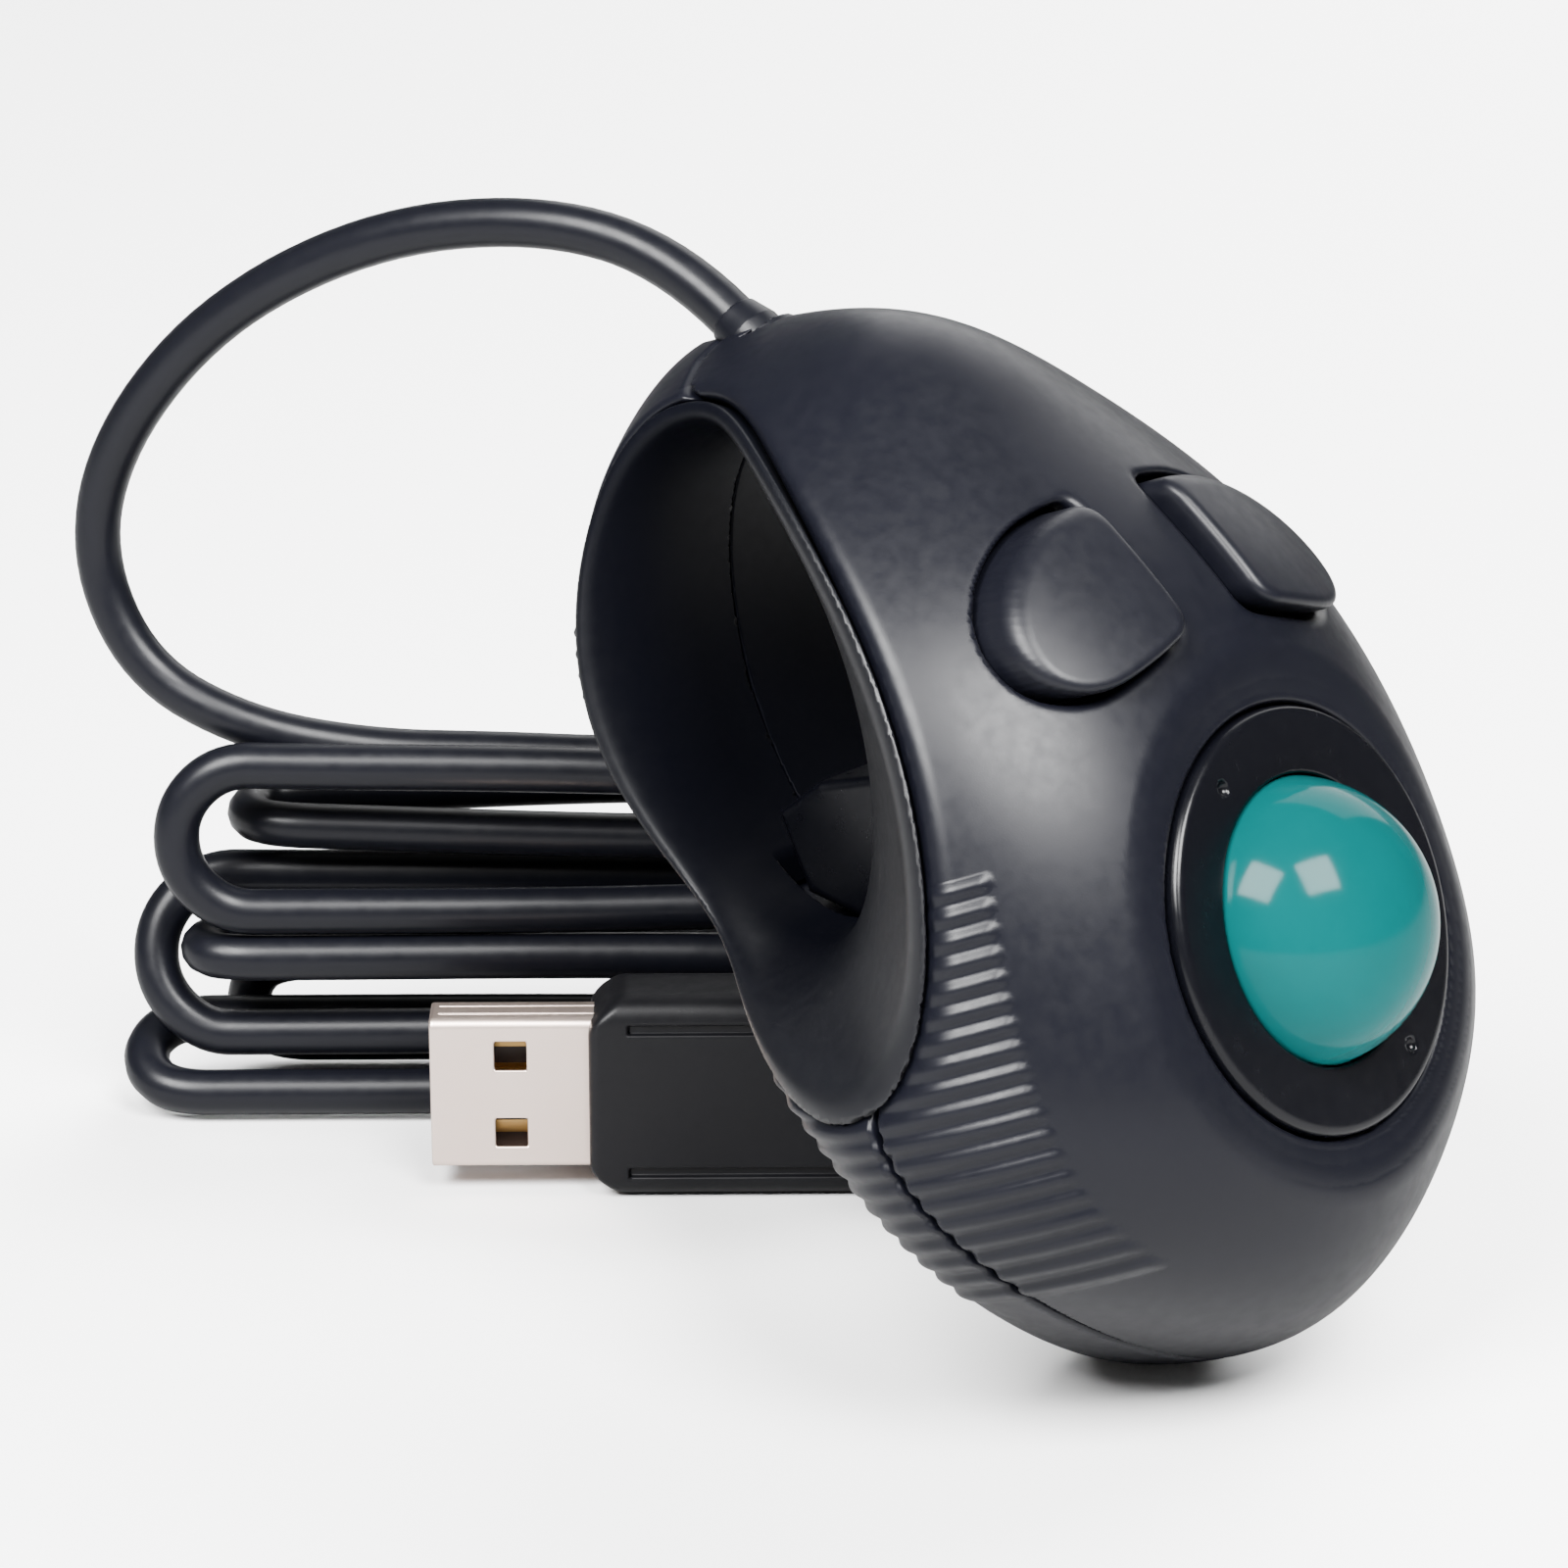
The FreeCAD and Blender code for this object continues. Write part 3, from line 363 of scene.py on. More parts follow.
def net(fn, lo, hi, step):
    """A closed quad mesh of where fn < 0 inside the box, with its vertices drawn onto fn = 0."""
    lo, hi, step = np.array(lo, float), np.array(hi, float), np.array(step, float)
    num = np.ceil((hi - lo) / step).astype(int) + 1
    ax = [lo[i] + np.arange(num[i]) * step[i] for i in range(3)]
    F = fn(ax[0][:, None, None], ax[1][None, :, None], ax[2][None, None, :])
    F = np.broadcast_to(F, num).astype(np.float32)
    ins = F < 0
    c = np.zeros(tuple(num - 1), np.int8)
    for i in (0, 1):
        for j in (0, 1):
            for k in (0, 1):
                c += ins[i:num[0] - 1 + i, j:num[1] - 1 + j, k:num[2] - 1 + k]
    mixed = (c > 0) & (c < 8)
    cells = np.argwhere(mixed)
    idx = np.full(mixed.shape, -1, np.int32)
    idx[mixed] = np.arange(len(cells))
    tot, cnt = np.zeros((len(cells), 3)), np.zeros(len(cells))
    corners = [np.array(q) for q in np.ndindex(2, 2, 2)]
    for a in corners:
        for d in range(3):
            if a[d] == 0:
                b = a.copy()
                b[d] = 1
                fa = F[tuple((cells + a).T)]
                fb = F[tuple((cells + b).T)]
                cr = (fa < 0) != (fb < 0)
                t = fa[cr] / (fa[cr] - fb[cr])
                p = np.tile(a.astype(float), (cr.sum(), 1))
                p[:, d] += t
                tot[cr] += p
                cnt[cr] += 1
    V = lo + (cells + tot / cnt[:, None]) * step
    quads = []
    for d in range(3):
        u, v = (d + 1) % 3, (d + 2) % 3
        s0 = [slice(None)] * 3
        s1 = [slice(None)] * 3
        s0[d], s1[d] = slice(0, -1), slice(1, None)
        e = ins[tuple(s0)] != ins[tuple(s1)]
        ijk = np.argwhere(e)
        ok = (ijk[:, u] > 0) & (ijk[:, v] > 0) & (ijk[:, u] < num[u] - 1) & (ijk[:, v] < num[v] - 1)
        ijk = ijk[ok]
        def cell(du, dv):
            q = ijk.copy()
            q[:, u] -= du
            q[:, v] -= dv
            return idx[tuple(q.T)]
        q = np.stack([cell(1, 1), cell(0, 1), cell(0, 0), cell(1, 0)], 1)
        first_in = ins[tuple(ijk.T)]
        q[~first_in] = q[~first_in][:, ::-1]
        quads.append(q)
    Q = np.concatenate(quads)
    lim = step.min() * 0.6
    for _ in range(4):
        f = fn(V[:, 0], V[:, 1], V[:, 2])
        g = grad(fn, V)
        m = (g * g).sum(1)
        d = -(f / np.maximum(m, 1e-3))[:, None] * g
        ln = np.linalg.norm(d, axis=1)
        d *= np.minimum(1.0, lim / np.maximum(ln, 1e-9))[:, None]
        V += d
    g = grad(fn, V, 0.03)
    N = g / np.maximum(np.linalg.norm(g, axis=1), 1e-9)[:, None]
    return V, Q, N


def make(name, V, Q, mat, N=None, local=True):
    me = bpy.data.meshes.new(name)
    P = to_row(V) if local else np.asarray(V) * MM
    me.vertices.add(len(P))
    me.vertices.foreach_set("co", P.astype(np.float32).ravel())
    me.loops.add(len(Q) * 4)
    me.loops.foreach_set("vertex_index", Q.astype(np.int32).ravel())
    me.polygons.add(len(Q))
    me.polygons.foreach_set("loop_start", np.arange(len(Q), dtype=np.int32) * 4)
    me.polygons.foreach_set("loop_total", np.full(len(Q), 4, np.int32))
    me.update(calc_edges=True)
    me.validate(clean_customdata=False)
    me.polygons.foreach_set("use_smooth", np.ones(len(me.polygons), bool))
    me.materials.append(mat)
    ob = bpy.data.objects.new(name, me)
    SCN.collection.objects.link(ob)
    if N is not None and len(me.vertices) == len(N):
        R = np.stack([AX_S, AX_Y, AX_W]) if local else np.eye(3)
        me.normals_split_custom_set_from_vertices((N @ R).astype(np.float32).tolist())
    return ob


# ------------------------------------------------------------ body surface: the same control rows as the CAD
ROW_S = [-48.78, -48.78, -38.0, -21.0, 0.0, 17.0, 29.27, 29.27]
ROW_W = [-37.0, -37.5, -29.5, -23.0, -19.0, -17.0, -19.0, -19.0]
ROW_HALF = [0, 4.73, 21.99, 29.32, 30.12, 27.58, 5.48, 0]
ROW_THUMB = [0, 18.63, 16.67, 23.27, 23.07, 19.16, 12.37, 0]
ROW_FINGER = [0, 4.6, 20.6, 30.1, 18.5, 7.0, 12.2, 0]
HOLE = [(0, -41.5, -6.5, -34.4, 10.0, 10.0, 0), (8, -42.2, -6.3, -34.4, 10.1, 10.1, 0), (12, -44.2, -5.8, -33.8, 10.8, 11.0, 1.5),
        (16, -45.5, -4.9, -32.6, 12.0, 13.0, 3.5), (20, -47.0, -3.4, -30.6, 13.8, 16.0, 6), (24, -48.5, -1.2, -27.2, 15.4, 20.5, 8.5),
        (27, -50.0, 0.8, -24.6, 15.6, 24.0, 11), (30, -51.5, 3.2, -22.0, 16.0, 28.0, 13), (34, -54.0, 7.0, -18.5, 18.0, 33.0, 15)]


def basis(n, t):
    """Clamped cubic B-spline basis with uniform inner knots: len(t) by n."""
    k = n - 3
    U = np.concatenate([[0] * 3, np.linspace(0, 1, k + 1), [1] * 3])
    t = np.clip(t, 0, 1 - 1e-12)
    B = [((t >= U[i]) & (t < U[i + 1])).astype(float) for i in range(len(U) - 1)]
    for p in (1, 2, 3):
        for i in range(len(U) - 1 - p):
            a = (t - U[i]) / (U[i + p] - U[i]) * B[i] if U[i + p] > U[i] else 0 * t
            b = (U[i + p + 1] - t) / (U[i + p + 1] - U[i + 1]) * B[i + 1] if U[i + p + 1] > U[i + 1] else 0 * t
            B[i] = a + b
    return np.stack(B[:n], 1)


T_ = np.linspace(0, 1, 6001)
NB = basis(8, T_)
ES, EB, ET, EF, EZ = (NB @ np.array(r, float) for r in (ROW_S, ROW_HALF, ROW_THUMB, ROW_FINGER, ROW_W))
ES = np.maximum.accumulate(ES + np.arange(len(ES)) * 1e-9)
dES = np.maximum(np.gradient(ES), 1e-7)
EBd, ETd, EFd, EZd = (np.clip(np.gradient(r) / dES, -60, 60) for r in (EB, ET, EF, EZ))


def egg(S, Y, W):
    b, ct, cf, z = (np.interp(S, ES, r) for r in (EB, ET, EF, EZ))
    bd, td, fd, zd = (np.interp(S, ES, r) for r in (EBd, ETd, EFd, EZd))
    b = np.maximum(b, 0.25)
    dw = W - z
    up = dw > 0
    c = np.maximum(np.where(up, ct, cf), 0.25)
    cd = np.where(up, td, fd)
    q = np.sqrt((Y / b) ** 2 + (dw / c) ** 2) + 1e-6
    gy = Y / (b * b * q)
    gw = dw / (c * c * q)
    gs = -(Y * Y * bd / b ** 3 + dw * dw * cd / c ** 3 + dw * zd / (c * c)) / q
    F = (q - 1) / np.sqrt(gs * gs + gy * gy + gw * gw + 1e-8)
    F = np.clip(F, -8, 8)
    F = np.maximum(F, ES[0] - S)
    return np.maximum(F, S - ES[-1])


class Trumpet:
    def __init__(self, d):
        rows = [(-q[0],) + tuple(q[1:]) for q in HOLE[:0:-1]] + [tuple(q) for q in HOLE]
        n = len(rows)
        B = basis(n, np.linspace(0, 1, 3001))
        R = np.array(rows, float)
        f = np.radians(R[:, 6])
        a = (R[:, 2] - R[:, 1]) / 2 + d
        up, dn = R[:, 4] + d, R[:, 5] + d
        cols = [R[:, 0], (R[:, 1] + R[:, 2]) / 2, R[:, 3], a * np.cos(f), a * np.sin(f), -up * np.sin(f), up * np.cos(f), -dn * np.sin(f), dn * np.cos(f)]
        self.y, *self.t = [B @ c for c in cols]
        self.dt = [np.gradient(c) / np.gradient(self.y) for c in self.t]

    def __call__(self, S, Y, W):
        v = [np.interp(Y, self.y, c) for c in self.t]
        g = [np.interp(Y, self.y, c) for c in self.dt]
        px, pz = S - v[0], W - v[1]
        A2 = v[2] ** 2 + v[3] ** 2
        al = (px * v[2] + pz * v[3]) / A2
        be_u = (px * v[4] + pz * v[5])
        up = be_u > 0
        bx, bz = np.where(up, v[4], v[6]), np.where(up, v[5], v[7])
        gx, gz = np.where(up, g[4], g[6]), np.where(up, g[5], g[7])
        B2 = bx * bx + bz * bz
        be = (px * bx + pz * bz) / B2
        q = np.sqrt(al * al + be * be) + 1e-6
        ga = (-g[0] * v[2] - g[1] * v[3] + px * g[2] + pz * g[3]) / A2 - 2 * al * (v[2] * g[2] + v[3] * g[3]) / A2
        gb = (-g[0] * bx - g[1] * bz + px * gx + pz * gz) / B2 - 2 * be * (bx * gx + bz * gz) / B2
        gs = (al * v[2] / A2 + be * bx / B2) / q
        gw = (al * v[3] / A2 + be * bz / B2) / q
        gy = (al * ga + be * gb) / q
        return np.clip((q - 1) / np.sqrt(gs * gs + gw * gw + gy * gy + 1e-8), -9, 9)


H_IN, H_OUT, H_CUT = Trumpet(0.0), Trumpet(1.5), Trumpet(1.7)

PF = np.array([(2.4, -17.1), (8.8, -16.5), (15.5, -15.3), (21.0, -15.2), (27.0, -15.8), (34, -16.8)])


def natural(x, y, xs):
    n = len(x)
    h = np.diff(x)
    Amat, r = np.eye(n), np.zeros(n)
    for i in range(1, n - 1):
        Amat[i, i - 1:i + 2] = h[i - 1], 2 * (h[i - 1] + h[i]), h[i]
        r[i] = 6 * ((y[i + 1] - y[i]) / h[i] - (y[i] - y[i - 1]) / h[i - 1])
    m = np.linalg.solve(Amat, r)
    j = np.clip(np.searchsorted(x, xs) - 1, 0, n - 2)
    a, b, hh = x[j + 1] - xs, xs - x[j], h[j]
    return (m[j] * a ** 3 + m[j + 1] * b ** 3) / (6 * hh) + (y[j] / hh - m[j] * hh / 6) * a + (y[j + 1] / hh - m[j + 1] * hh / 6) * b


PX = np.linspace(-60, 34, 1881)
PY = np.where(PX < 2.4, np.interp(PX, [-80, -47.3, -45.7, -44.0, 2.4], [-35.8, -35.4, -34.4, -32.6, -17.1]), natural(PF[:, 0], PF[:, 1], np.clip(PX, 2.4, 34)))
PSL = 1 / np.sqrt(1 + np.gradient(PY, PX) ** 2)


def above(S, W, dw=0.0):
    """Negative above the parting line."""
    return (np.interp(S, PX, PY) + dw - W) * np.interp(S, PX, PSL)


PITCH, RIB_H, RIB_0 = 1.53, 0.27, -9.75


def rib_bump(S, over):
    """Height of the ribs: rounded ridges square to the length, ending where over > 0."""
    x = (S - RIB_0 + PITCH / 2) % PITCH - PITCH / 2
    r = np.sqrt(x * x + np.maximum(over, 0.0) ** 2)
    c = 0.5 + 0.5 * np.cos(np.minimum(r / (PITCH / 2), 1.0) * math.pi)
    return RIB_H * c ** 0.85


def step01(x):
    x = np.clip(x, 0, 1)
    return x * x * (3 - 2 * x)


D_PTS = [(-31.0, 4.0), (-30.5, 8.0), (-28.6, 12.2), (-26.0, 15.0), (-23.0, 16.3), (-20.5, 15.8), (-19.2, 13.6), (-19.5, 10.0), (-21.3, 4.0)]


def curved(pts, n=5):
    """The open run of points as a smooth curve, n steps to each span."""
    P = np.array(pts, float)
    u = np.concatenate([[0], np.cumsum(np.linalg.norm(np.diff(P, axis=0), axis=1))])
    t = np.concatenate([np.linspace(u[i], u[i + 1], n, endpoint=False) for i in range(len(P) - 1)] + [[u[-1]]])
    return np.stack([natural(u, P[:, 0], t), natural(u, P[:, 1], t)], 1)


D_CLOSED = curved([(-31.3, 0.6)] + D_PTS + [(-22.9, 0.2)])


def d_field(S, Y, off):
    """Distance in the (along, across) plane to the rounded button outline, grown by off."""
    n = len(D_CLOSED)
    S, Y = np.broadcast_arrays(S, Y)
    best = np.full(S.shape, 1e9)
    ins = np.zeros(S.shape, bool)
    for i in range(n):
        a, b = D_CLOSED[i], D_CLOSED[(i + 1) % n]
        ex, ey = b - a
        wx, wy = S - a[0], Y - a[1]
        t = np.clip((wx * ex + wy * ey) / (ex * ex + ey * ey), 0, 1)
        best = np.minimum(best, (wx - ex * t) ** 2 + (wy - ey * t) ** 2)
        cond = ((a[1] <= Y) & (b[1] > Y)) | ((b[1] <= Y) & (a[1] > Y))
        if abs(ey) > 1e-9:
            ins ^= cond & (S < a[0] + (Y - a[1]) / ey * ex)
    return smax(np.where(ins, -1, 1) * np.sqrt(best) - off, D_PTS[0][1] - off - Y, 1.5)


def valley(R, W):
    h = np.interp(R, [0, 15.4, 16.4, 17.8, 19.4, 21.4, 24, 60], [-0.55, -0.55, -0.35, 0.15, 1.15, 3.3, 8.0, 68.0])
    return (W - h) * 0.86


def exit_cut(S, Y, W):
    dx, dz = -0.8, -0.6
    px, pz = S - EXIT[0], W - EXIT[2]
    al = px * dx + pz * dz
    r = np.sqrt((px - al * dx) ** 2 + Y ** 2 + (pz - al * dz) ** 2)
    return np.minimum(smax(r - 2.5, -al - 5, 0.2), np.maximum(np.maximum(r - 3.4, -al - 4.6), al + 2.0))


def rod(S, Y, W, s, y, r, w0, w1):
    return np.maximum(np.sqrt((S - s) ** 2 + (Y - y) ** 2) - r, np.maximum(w0 - W, W - w1))


def upper_field(S, Y, W):
    skin = egg(S, Y, W)
    inner = skin + 2.0
    R = np.sqrt(S * S + Y * Y)
    hole = H_CUT(S, Y, W)
    lo, hi = step01((S + 10.6) / 0.4), step01((18.7 - S) / 0.4)
    rib = rib_bump(S, (W + 7.2) * 1.0) * lo * hi
    out = skin - rib
    out = smax(out, valley(R, W), 1.6)
    part = above(S, W)
    f = smax(out, -hole, 1.7)
    f = smax(f, part, 0.35)
    f = smax(f, 14.75 - R, 0.45)
    f = np.maximum(f, -inner)
    add = np.maximum(np.maximum(np.abs(R - 15.5) - 0.75, np.abs(W + 2.0) - 3.3), skin + 0.6)
    add = np.minimum(add, np.maximum(np.maximum(np.abs(R - 14.5) - 1.8, np.abs(W + 4.3) - 1.0), skin + 0.6))
    add = np.maximum(add, valley(R, W) + 0.6)
    for s, y, r, w0, w1 in ((-30, 0, 2.0, -17.38, -8.1), (-15.5, -11.2, 1.8, -17.38, -2.8), (18.5, 8, 2.4, -14.9, -2.4), (18.5, -8, 2.4, -14.9, -2.4)):
        add = np.minimum(add, np.maximum(rod(S, Y, W, s, y, r, w0, w1), skin + 0.8))
    f = np.minimum(f, add)
    for sd in (1, -1):
        f = smax(f, -np.maximum(d_field(S, sd * Y, 0.42), -14 - W), 0.8)
    f = np.maximum(f, -hole)
    f = smax(f, -exit_cut(S, Y, W), 0.3)
    return f


def row_z(S, W):
    return S * AX_S[2] + W * AX_W[2] + ORG[2]


def lower_field(S, Y, W):
    skin = egg(S, Y, W)
    lo, hi = step01((S + 32.4) / 0.4), step01((18.7 - S) / 0.4)
    out = skin - rib_bump(S, -1.0 + 0 * W) * lo * hi
    hole = H_CUT(S, Y, W)
    f = smax(out, -hole, 0.9)
    f = smax(f, -above(S, W, -0.38), 0.35)
    f = np.maximum(f, -(skin + 2.0))
    for y in (8, -8):
        f = np.minimum(f, np.maximum(rod(S, Y, W, 18.5, y, 2.4, -30, -15.1), skin + 0.8))
    f = np.maximum(f, -hole)
    for y in (8, -8):
        r = np.sqrt((S - 18.5) ** 2 + (Y - y) ** 2)
        f = np.maximum(f, 1.15 - r)
        f = smax(f, -np.maximum(r - 2.0, W + 22.0), 0.2)
    f = smax(f, -exit_cut(S, Y, W), 0.3)
    return smax(f, -row_z(S, W), 0.4)


def sleeve_field(side):
    def fn(S, Y, W):
        skin = egg(S, Y, W)
        f = smax(-H_IN(S, Y, W), skin, 1.9)
        f = smax(f, H_OUT(S, Y, W), 0.35)
        slot = np.maximum(np.maximum(-16.5 - S, S - 2.0), np.maximum(np.abs(Y) - 5.5, np.maximum(-41.6 - W, W + 24.2)))
        f = smax(f, -slot, 0.25)
        f = np.maximum(f, -exit_cut(S, Y, W))
        f = np.maximum(f, 0.04 - side * Y)
        return smax(f, -row_z(S, W), 0.3)
    return fn


def button_field(side):
    def fn(S, Y, W):
        skin = egg(S, Y, W)
        d = d_field(S, side * Y, 0.0)
        f = smax(d, skin - 1.7, 1.0)
        f = np.maximum(f, -(skin + 3.3))
        fl = np.maximum(d - 0.85, np.maximum(skin + 2.3, -(skin + 3.3)))
        f = smin(f, fl, 0.2)
        f = np.maximum(f, -14 - W)
        if side > 0:  # room above the two capacitors
            for y in (4.6, 9.0):
                f = np.maximum(f, -rod(S, Y, W, -31.0, y, 2.15, -20.0, -12.40))
        return np.minimum(f, rod(S, Y, W, -24, side * 9.5, 1.5, -12.18, -5.0))
    return fn


def grommet_field(S, Y, W):
    px, pz = S - EXIT[0], W - EXIT[2]
    al = -0.8 * px - 0.6 * pz
    r = np.sqrt((px + 0.8 * al) ** 2 + Y ** 2 + (pz + 0.6 * al) ** 2)
    neck = smax(r - (2.4 - np.clip(al + 1.0, 0, 2.0) * 0.24), np.maximum(-3.3 - al, al - 0.92), 0.1)
    return np.minimum(neck, np.maximum(np.maximum(r - 3.2, -3.4 - al), al + 2.3))


T_PTS = [(-11.0, -22.6), (-12.6, -27.0), (-15.9, -30.8), (-16.3, -36.3), (-14.8, -40.9), (-8.6, -40.2), (-6.2, -36.0), (-5.6, -30.6), (-4.62, -30.3), (-4.62, -28.7), (-5.6, -28.4), (-6.6, -24.2)]
T_STEM = [(-7.0, -22.2), (-11.0, -22.4), (-12.3, -26.2), (-6.0, -26.2)]


def poly(S, W, pts):
    """Signed distance in the (along, out) plane to a polygon."""
    n = len(pts)
    S, W = np.broadcast_arrays(S, W)
    best, ins = np.full(S.shape, 1e9), np.zeros(S.shape, bool)
    for i in range(n):
        a, b = pts[i], pts[(i + 1) % n]
        ex, ey = b[0] - a[0], b[1] - a[1]
        wx, wy = S - a[0], W - a[1]
        t = np.clip((wx * ex + wy * ey) / (ex * ex + ey * ey), 0, 1)
        best = np.minimum(best, (wx - ex * t) ** 2 + (wy - ey * t) ** 2)
        cond = ((a[1] <= W) & (b[1] > W)) | ((b[1] <= W) & (a[1] > W))
        if abs(ey) > 1e-9:
            ins ^= cond & (S < a[0] + (W - a[1]) / ey * ex)
    return np.where(ins, -1, 1) * np.sqrt(best)


def trigger_field(S, Y, W):
    f = smax(poly(S, W, T_PTS), np.abs(Y) - 5.0, 0.9)
    f = smax(f, W + 24.2, 0.3)
    stem = np.maximum(poly(S, W, T_STEM), np.abs(Y) - 4.2)
    r = np.sqrt((S + 9.0) ** 2 + (W + 22.2) ** 2)
    f = np.minimum(np.minimum(f, stem), np.maximum(r - 2.1, np.abs(Y) - 4.2))
    return np.maximum(f, 0.96 - r)


def bezel_field(S, Y, W):
    R = np.sqrt(S * S + Y * Y)
    f = smax(smax(R - 14.55, W, 0.75), -3.25 - W, 0.2)
    for a in (90, 210, 330):
        c, sn = math.cos(math.radians(a)), math.sin(math.radians(a))
        u, v = S * c + Y * sn, -S * sn + Y * c
        lug = np.maximum(np.maximum(13.5 - u, R - 15.0), np.maximum(np.abs(v) - 2.2, np.abs(W + 2.7) - 0.55))
        f = np.minimum(f, lug)
    f = smax(f, 10.15 - np.sqrt(S * S + Y * Y + (W + 2.5) ** 2), 0.3)
    for a in (-150, 30):
        c, sn = math.cos(math.radians(a)), math.sin(math.radians(a))
        f = smax(f, 0.55 - np.sqrt((S - 12.2 * c) ** 2 + (Y - 12.2 * sn) ** 2 + (W - 0.1) ** 2), 0.12)
    return f


STEP = 1.0


def build(name, fn, lo, hi, step, mat, body, slot, *nodes):
    V, Q, N = net(fn, lo, hi, np.array(step) * STEP)
    ob = make(name, V, Q, mat, N)
    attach(ob, body)
    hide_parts(*nodes)
    print("piece", name, len(V), "vertices", len(Q), "quads")
    return ob


build("upper_case", upper_field, (-50, -31, -37), (30.5, 31, 5), (0.22, 0.42, 0.42), M["shell"], "housing", "shell", "upper_shell")
build("lower_case", lower_field, (-50, -31, -54.5), (30.5, 31, -13), (0.22, 0.42, 0.42), M["shell"], "housing", "shell", "lower_shell")
build("left_sleeve", sleeve_field(-1), (-50, -31, -53), (8, 0.6, -8), (0.33, 0.33, 0.33), M["sleeve"], "housing", "sleeve", "left_finger_sleeve")
build("right_sleeve", sleeve_field(1), (-50, -0.6, -53), (8, 31, -8), (0.33, 0.33, 0.33), M["sleeve"], "housing", "sleeve", "right_finger_sleeve")
build("left_click_button", button_field(-1), (-33, -18.5, -13), (-17, -2, 4), (0.16, 0.16, 0.16), M["button"], "left_button", "button", "left_button")
build("right_click_button", button_field(1), (-33, 2, -13), (-17, 18.5, 4), (0.16, 0.16, 0.16), M["button"], "right_button", "button", "right_button")

build("ball_bezel", bezel_field, (-15.4, -15.4, -3.6), (15.4, 15.4, 0.4), (0.2, 0.2, 0.2), M["bezel"], "ball_retaining_ring", "bezel", "ball_retaining_ring")

build("exit_grommet", grommet_field, (-53.2, -3.6, -41.4), (-43.4, 3.6, -30.4), (0.16, 0.16, 0.16), M["cable"], "housing", "cable", "cable_grommet")
build("trigger_blade", trigger_field, (-17.0, -5.4, -41.6), (-4.0, 5.4, -19.6), (0.17, 0.17, 0.17), M["trigger"], "trigger", "button", "trigger")

# ------------------------------------------------------------ plug, worked out in its own frame: (t, -n, z)
TAB = np.array([[LX, LY, 0], [-LY, LX, 0], [0, 0, 1.0]])
P_T0, P_N, P_Z = -49.9, 38.3, 8.0


def slab(T, N, Z, t0, t1, n0, n1, z0, z1):
    return np.maximum(np.maximum(np.maximum(t0 - T, T - t1), np.maximum(n0 - N, N - n1)), np.maximum(z0 - Z, Z - z1))


def tube_section(N, Z, hn, hz, r):
    """Distance to a rounded rectangle in the plug's cross-section."""
    a, b = np.abs(N - P_N) - (hn - r), np.abs(Z - P_Z) - (hz - r)
    return np.sqrt(np.maximum(a, 0) ** 2 + np.maximum(b, 0) ** 2) + np.minimum(np.maximum(a, b), 0) - r


def shell_field(T, N, Z):
    f = smax(tube_section(N, Z, 2.25, 6.0, 0.75), np.maximum(-61.9 - T, T + 45.0), 0.25)
    f = smax(f, -tube_section(N, Z, 1.95, 5.7, 0.5), 0.12)
    for zq in (4.9, 11.1):
        f = smax(f, -slab(T, N, Z, -57.0, -54.6, 30, 46, zq - 1.15, zq + 1.15), 0.18)
    # the folded seam along both narrow sides, and the step where the mouth is pressed in
    for n0 in (P_N - 0.75, P_N + 0.75):
        f = smax(f, -slab(T, N, Z, -61.2, -40, n0 - 0.09, n0 + 0.09, 13.86, 20), 0.06)
    f = smax(f, -slab(T, N, Z, -61.2, -40, P_N - 0.09, P_N + 0.09, -9, 2.14), 0.06)
    return f


def overmold_field(T, N, Z):
    h, v = np.abs(N - P_N) - 4.0, np.maximum(-Z, Z - 16.0)
    f = smax(h, v, 2.3)
    f = smax(f, T + 25.9, 1.6)
    f = smax(f, -49.9 - T, 0.9)
    for sg in (1, -1):
        f = smax(f, ((P_T0 + 1.6 - T) + (sg * (Z - 8.0) - 8.0 + 1.6)) * 0.7071 - 1.1 * 0.7071, 0.6)
        f = smax(f, ((T + 25.9 + 3.2) + (sg * (N - P_N) - 4.0)) * 0.7071 - 1.4, 0.8)
        for z0, z1 in ((1.9, 2.6), (13.4, 14.1)):
            n0, n1 = (P_N + 3.62, P_N + 6) if sg > 0 else (P_N - 6, P_N - 3.62)
            f = smax(f, -slab(T, N, Z, P_T0 + 3.0, -27.4, n0, n1, z0, z1), 0.25)
    return np.maximum(f, -np.maximum(tube_section(N, Z, 2.27, 6.02, 0.75), T + 44.85))


def build_tab(name, fn, lo, hi, step, mat, slot, *nodes):
    V, Q, Nn = net(fn, lo, hi, np.array(step) * (1.0))
    P = V @ TAB + np.array([ORG[0], ORG[1], 0.0])
    ob = make(name, P, Q, mat, Nn @ TAB, local=False)
    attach(ob, "housing")
    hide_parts(*nodes)
    print("piece", name, len(V), "vertices", len(Q), "quads")
    return ob


plug_shell = build_tab("plug_shell", shell_field, (-62.3, P_N - 2.6, 1.6), (-44.6, P_N + 2.6, 14.4), (0.21, 0.09, 0.16), M["plug_metal"], "plug_metal", "usb_shell")
plug_grip = build_tab("plug_grip", overmold_field, (-50.4, P_N - 4.4, -0.4), (-25.5, P_N + 4.4, 16.4), (0.24, 0.22, 0.22), M["overmold"], "overmold", "usb_overmold")

